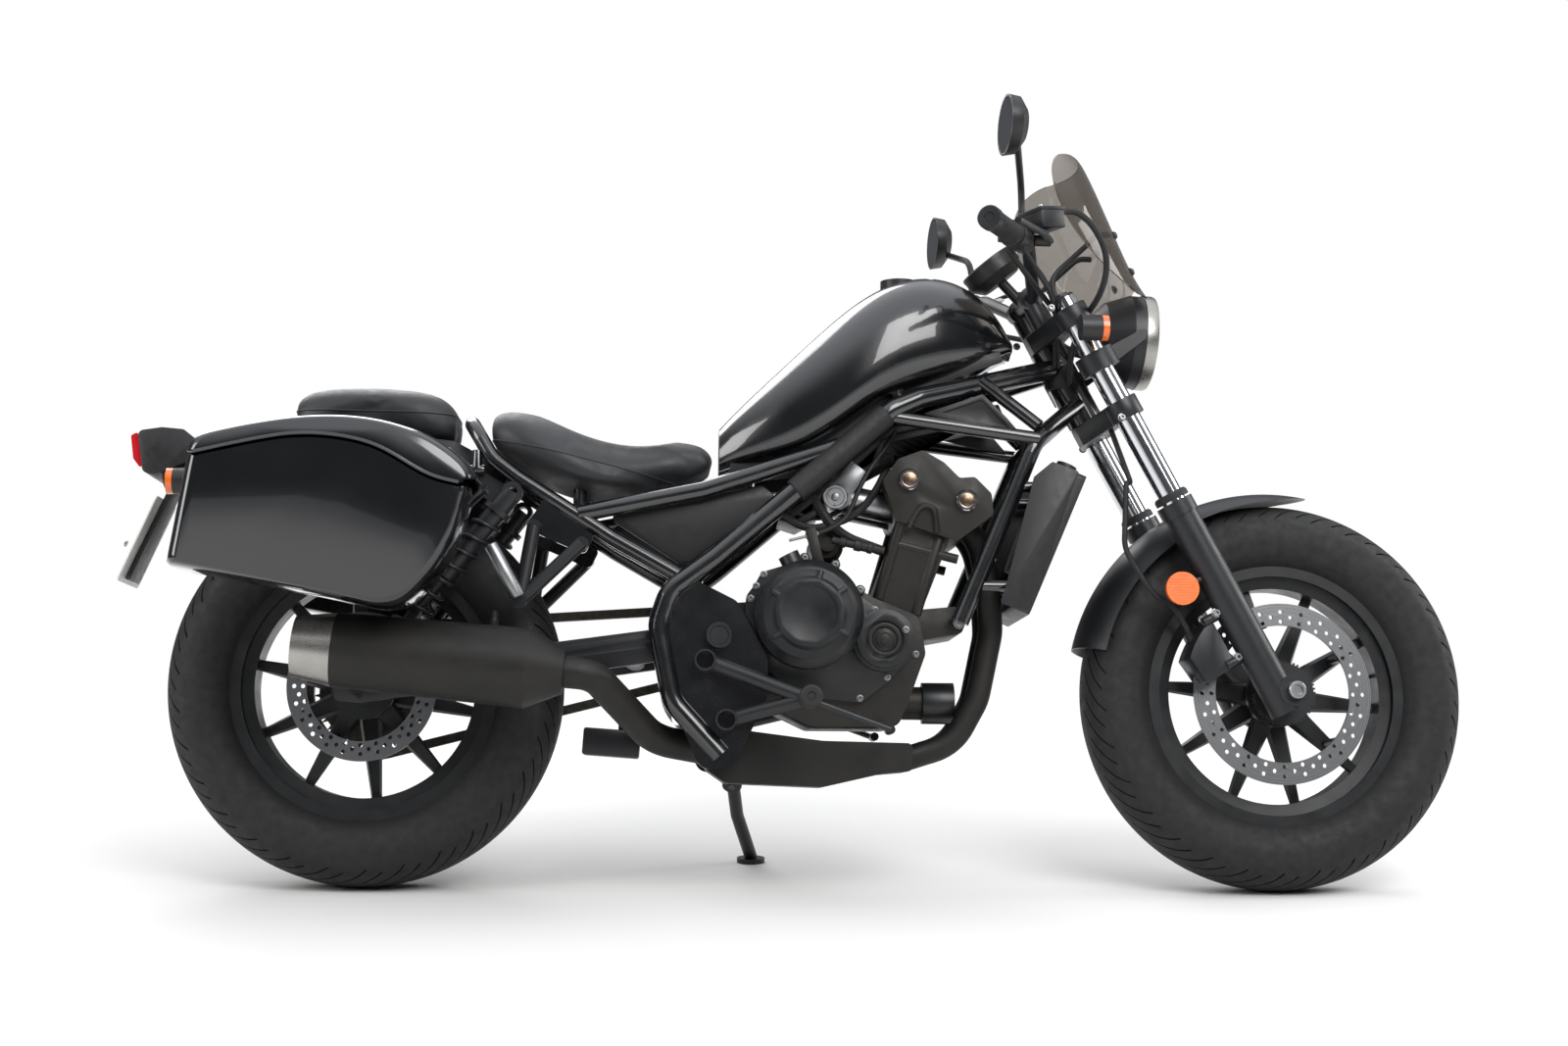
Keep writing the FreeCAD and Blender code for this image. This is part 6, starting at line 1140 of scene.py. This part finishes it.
out, half = hinge["out"], hinge["half"]
cheekEdge = half + hinge["free"] + hinge["cheek"]
tubHinge = [hingeBar(out - cheekEdge, out + cheekEdge, hinge["pin"])]
for start in (out - cheekEdge, out + half + hinge["free"]):
    tubHinge.append(hingeBar(start, start + hinge["cheek"], hinge["radius"]))
    place = (hinge["x"] - hinge["earReach"], -start - hinge["cheek"] / 2, hinge["z"] - hinge["earReach"])
    tubHinge.append(block(place, (hinge["earLong"], hinge["cheek"], hinge["thick"]), (0, -45, 0),
                          hinge["edge"]))
armPlace = (hinge["x"] - hinge["armReach"], -out, hinge["z"] + hinge["armReach"])
lidHinge = [hingeBar(out - half, out + half, hinge["radius"]),
            block(armPlace, hinge["armSize"], (0, 45, 0), hinge["edge"])]

lip = {"radius": 3.4, "rise": -1.5, "face": -367.5, "scale": 0.93,
       "behind": [(-358, 0.965), (-344, 0.985), (-319, 0.996), (-240, 0.976), (-212, 0.966)]}
lipLine = []
for along, up in splitLine:
    forward, rise = bagPlace(along, up, lip["scale"], lip["rise"])
    lipLine.append((forward, lip["face"], rise))
for depth, scale in lip["behind"]:
    forward, rise = bagPlace(*splitLine[-1], scale, lip["rise"])
    lipLine.append((forward, depth, rise))
for piece, name, body, slot in ((joined(tubHinge), "bag_hinge_", "bag_", "satin_paint"),
                                (joined(lidHinge), "bag_knuckle_", "bag_lid_", "satin_paint"),
                                (tube(lipLine, lip["radius"]), "bag_lip_", "bag_lid_", "bag_shell")):
    other = mirrored(piece)
    settle(piece, name + "right", bodyOf[body + "right"], slot)
    settle(other, name + "left", bodyOf[body + "left"], slot)
print("bags are moulded")


# Starter, wires and hose behind the cylinder

starter = {"motor": [(0, 0), (24, 0), (28, 4), (28, 96), (25, 100), (25, 118), (21, 122), (0, 122)],
           "start": (748, 62, 560), "nose": [(0, 0), (12, 0), (12, 10), (0, 10)],
           "noseStart": (748, -60, 560),
           "foot": ((748, 0, 530), (44, 70, 20), (0, 0, 0), 3)}
parts = [turned(starter["motor"], starter["start"], (0, -1, 0), 40),
         turned(starter["nose"], starter["noseStart"], (0, -1, 0), 24), block(*starter["foot"])]
settle(joined(parts), "starter_motor", "chassis", "engine_paint")
loom = {"main": (6.5, [(600, -84, 604), (648, -80, 628), (700, -76, 588), (736, -72, 584), (800, -70, 610),
                       (836, -60, 660), (858, -52, 720), (900, -40, 762)]),
        "branch": (4.2, [(640, -70, 640), (690, -62, 612), (740, -56, 600), (790, -50, 630),
                         (820, -40, 690)]),
        "hose": (8.5, [(836, -86, 548), (812, -90, 556), (776, -84, 570), (744, -72, 600), (726, -58, 640)])}
for name, (radius, points) in loom.items():
    settle(tube(points, radius), "loom_" + name, "chassis", "rubber")
print("the space behind the cylinder is filled")
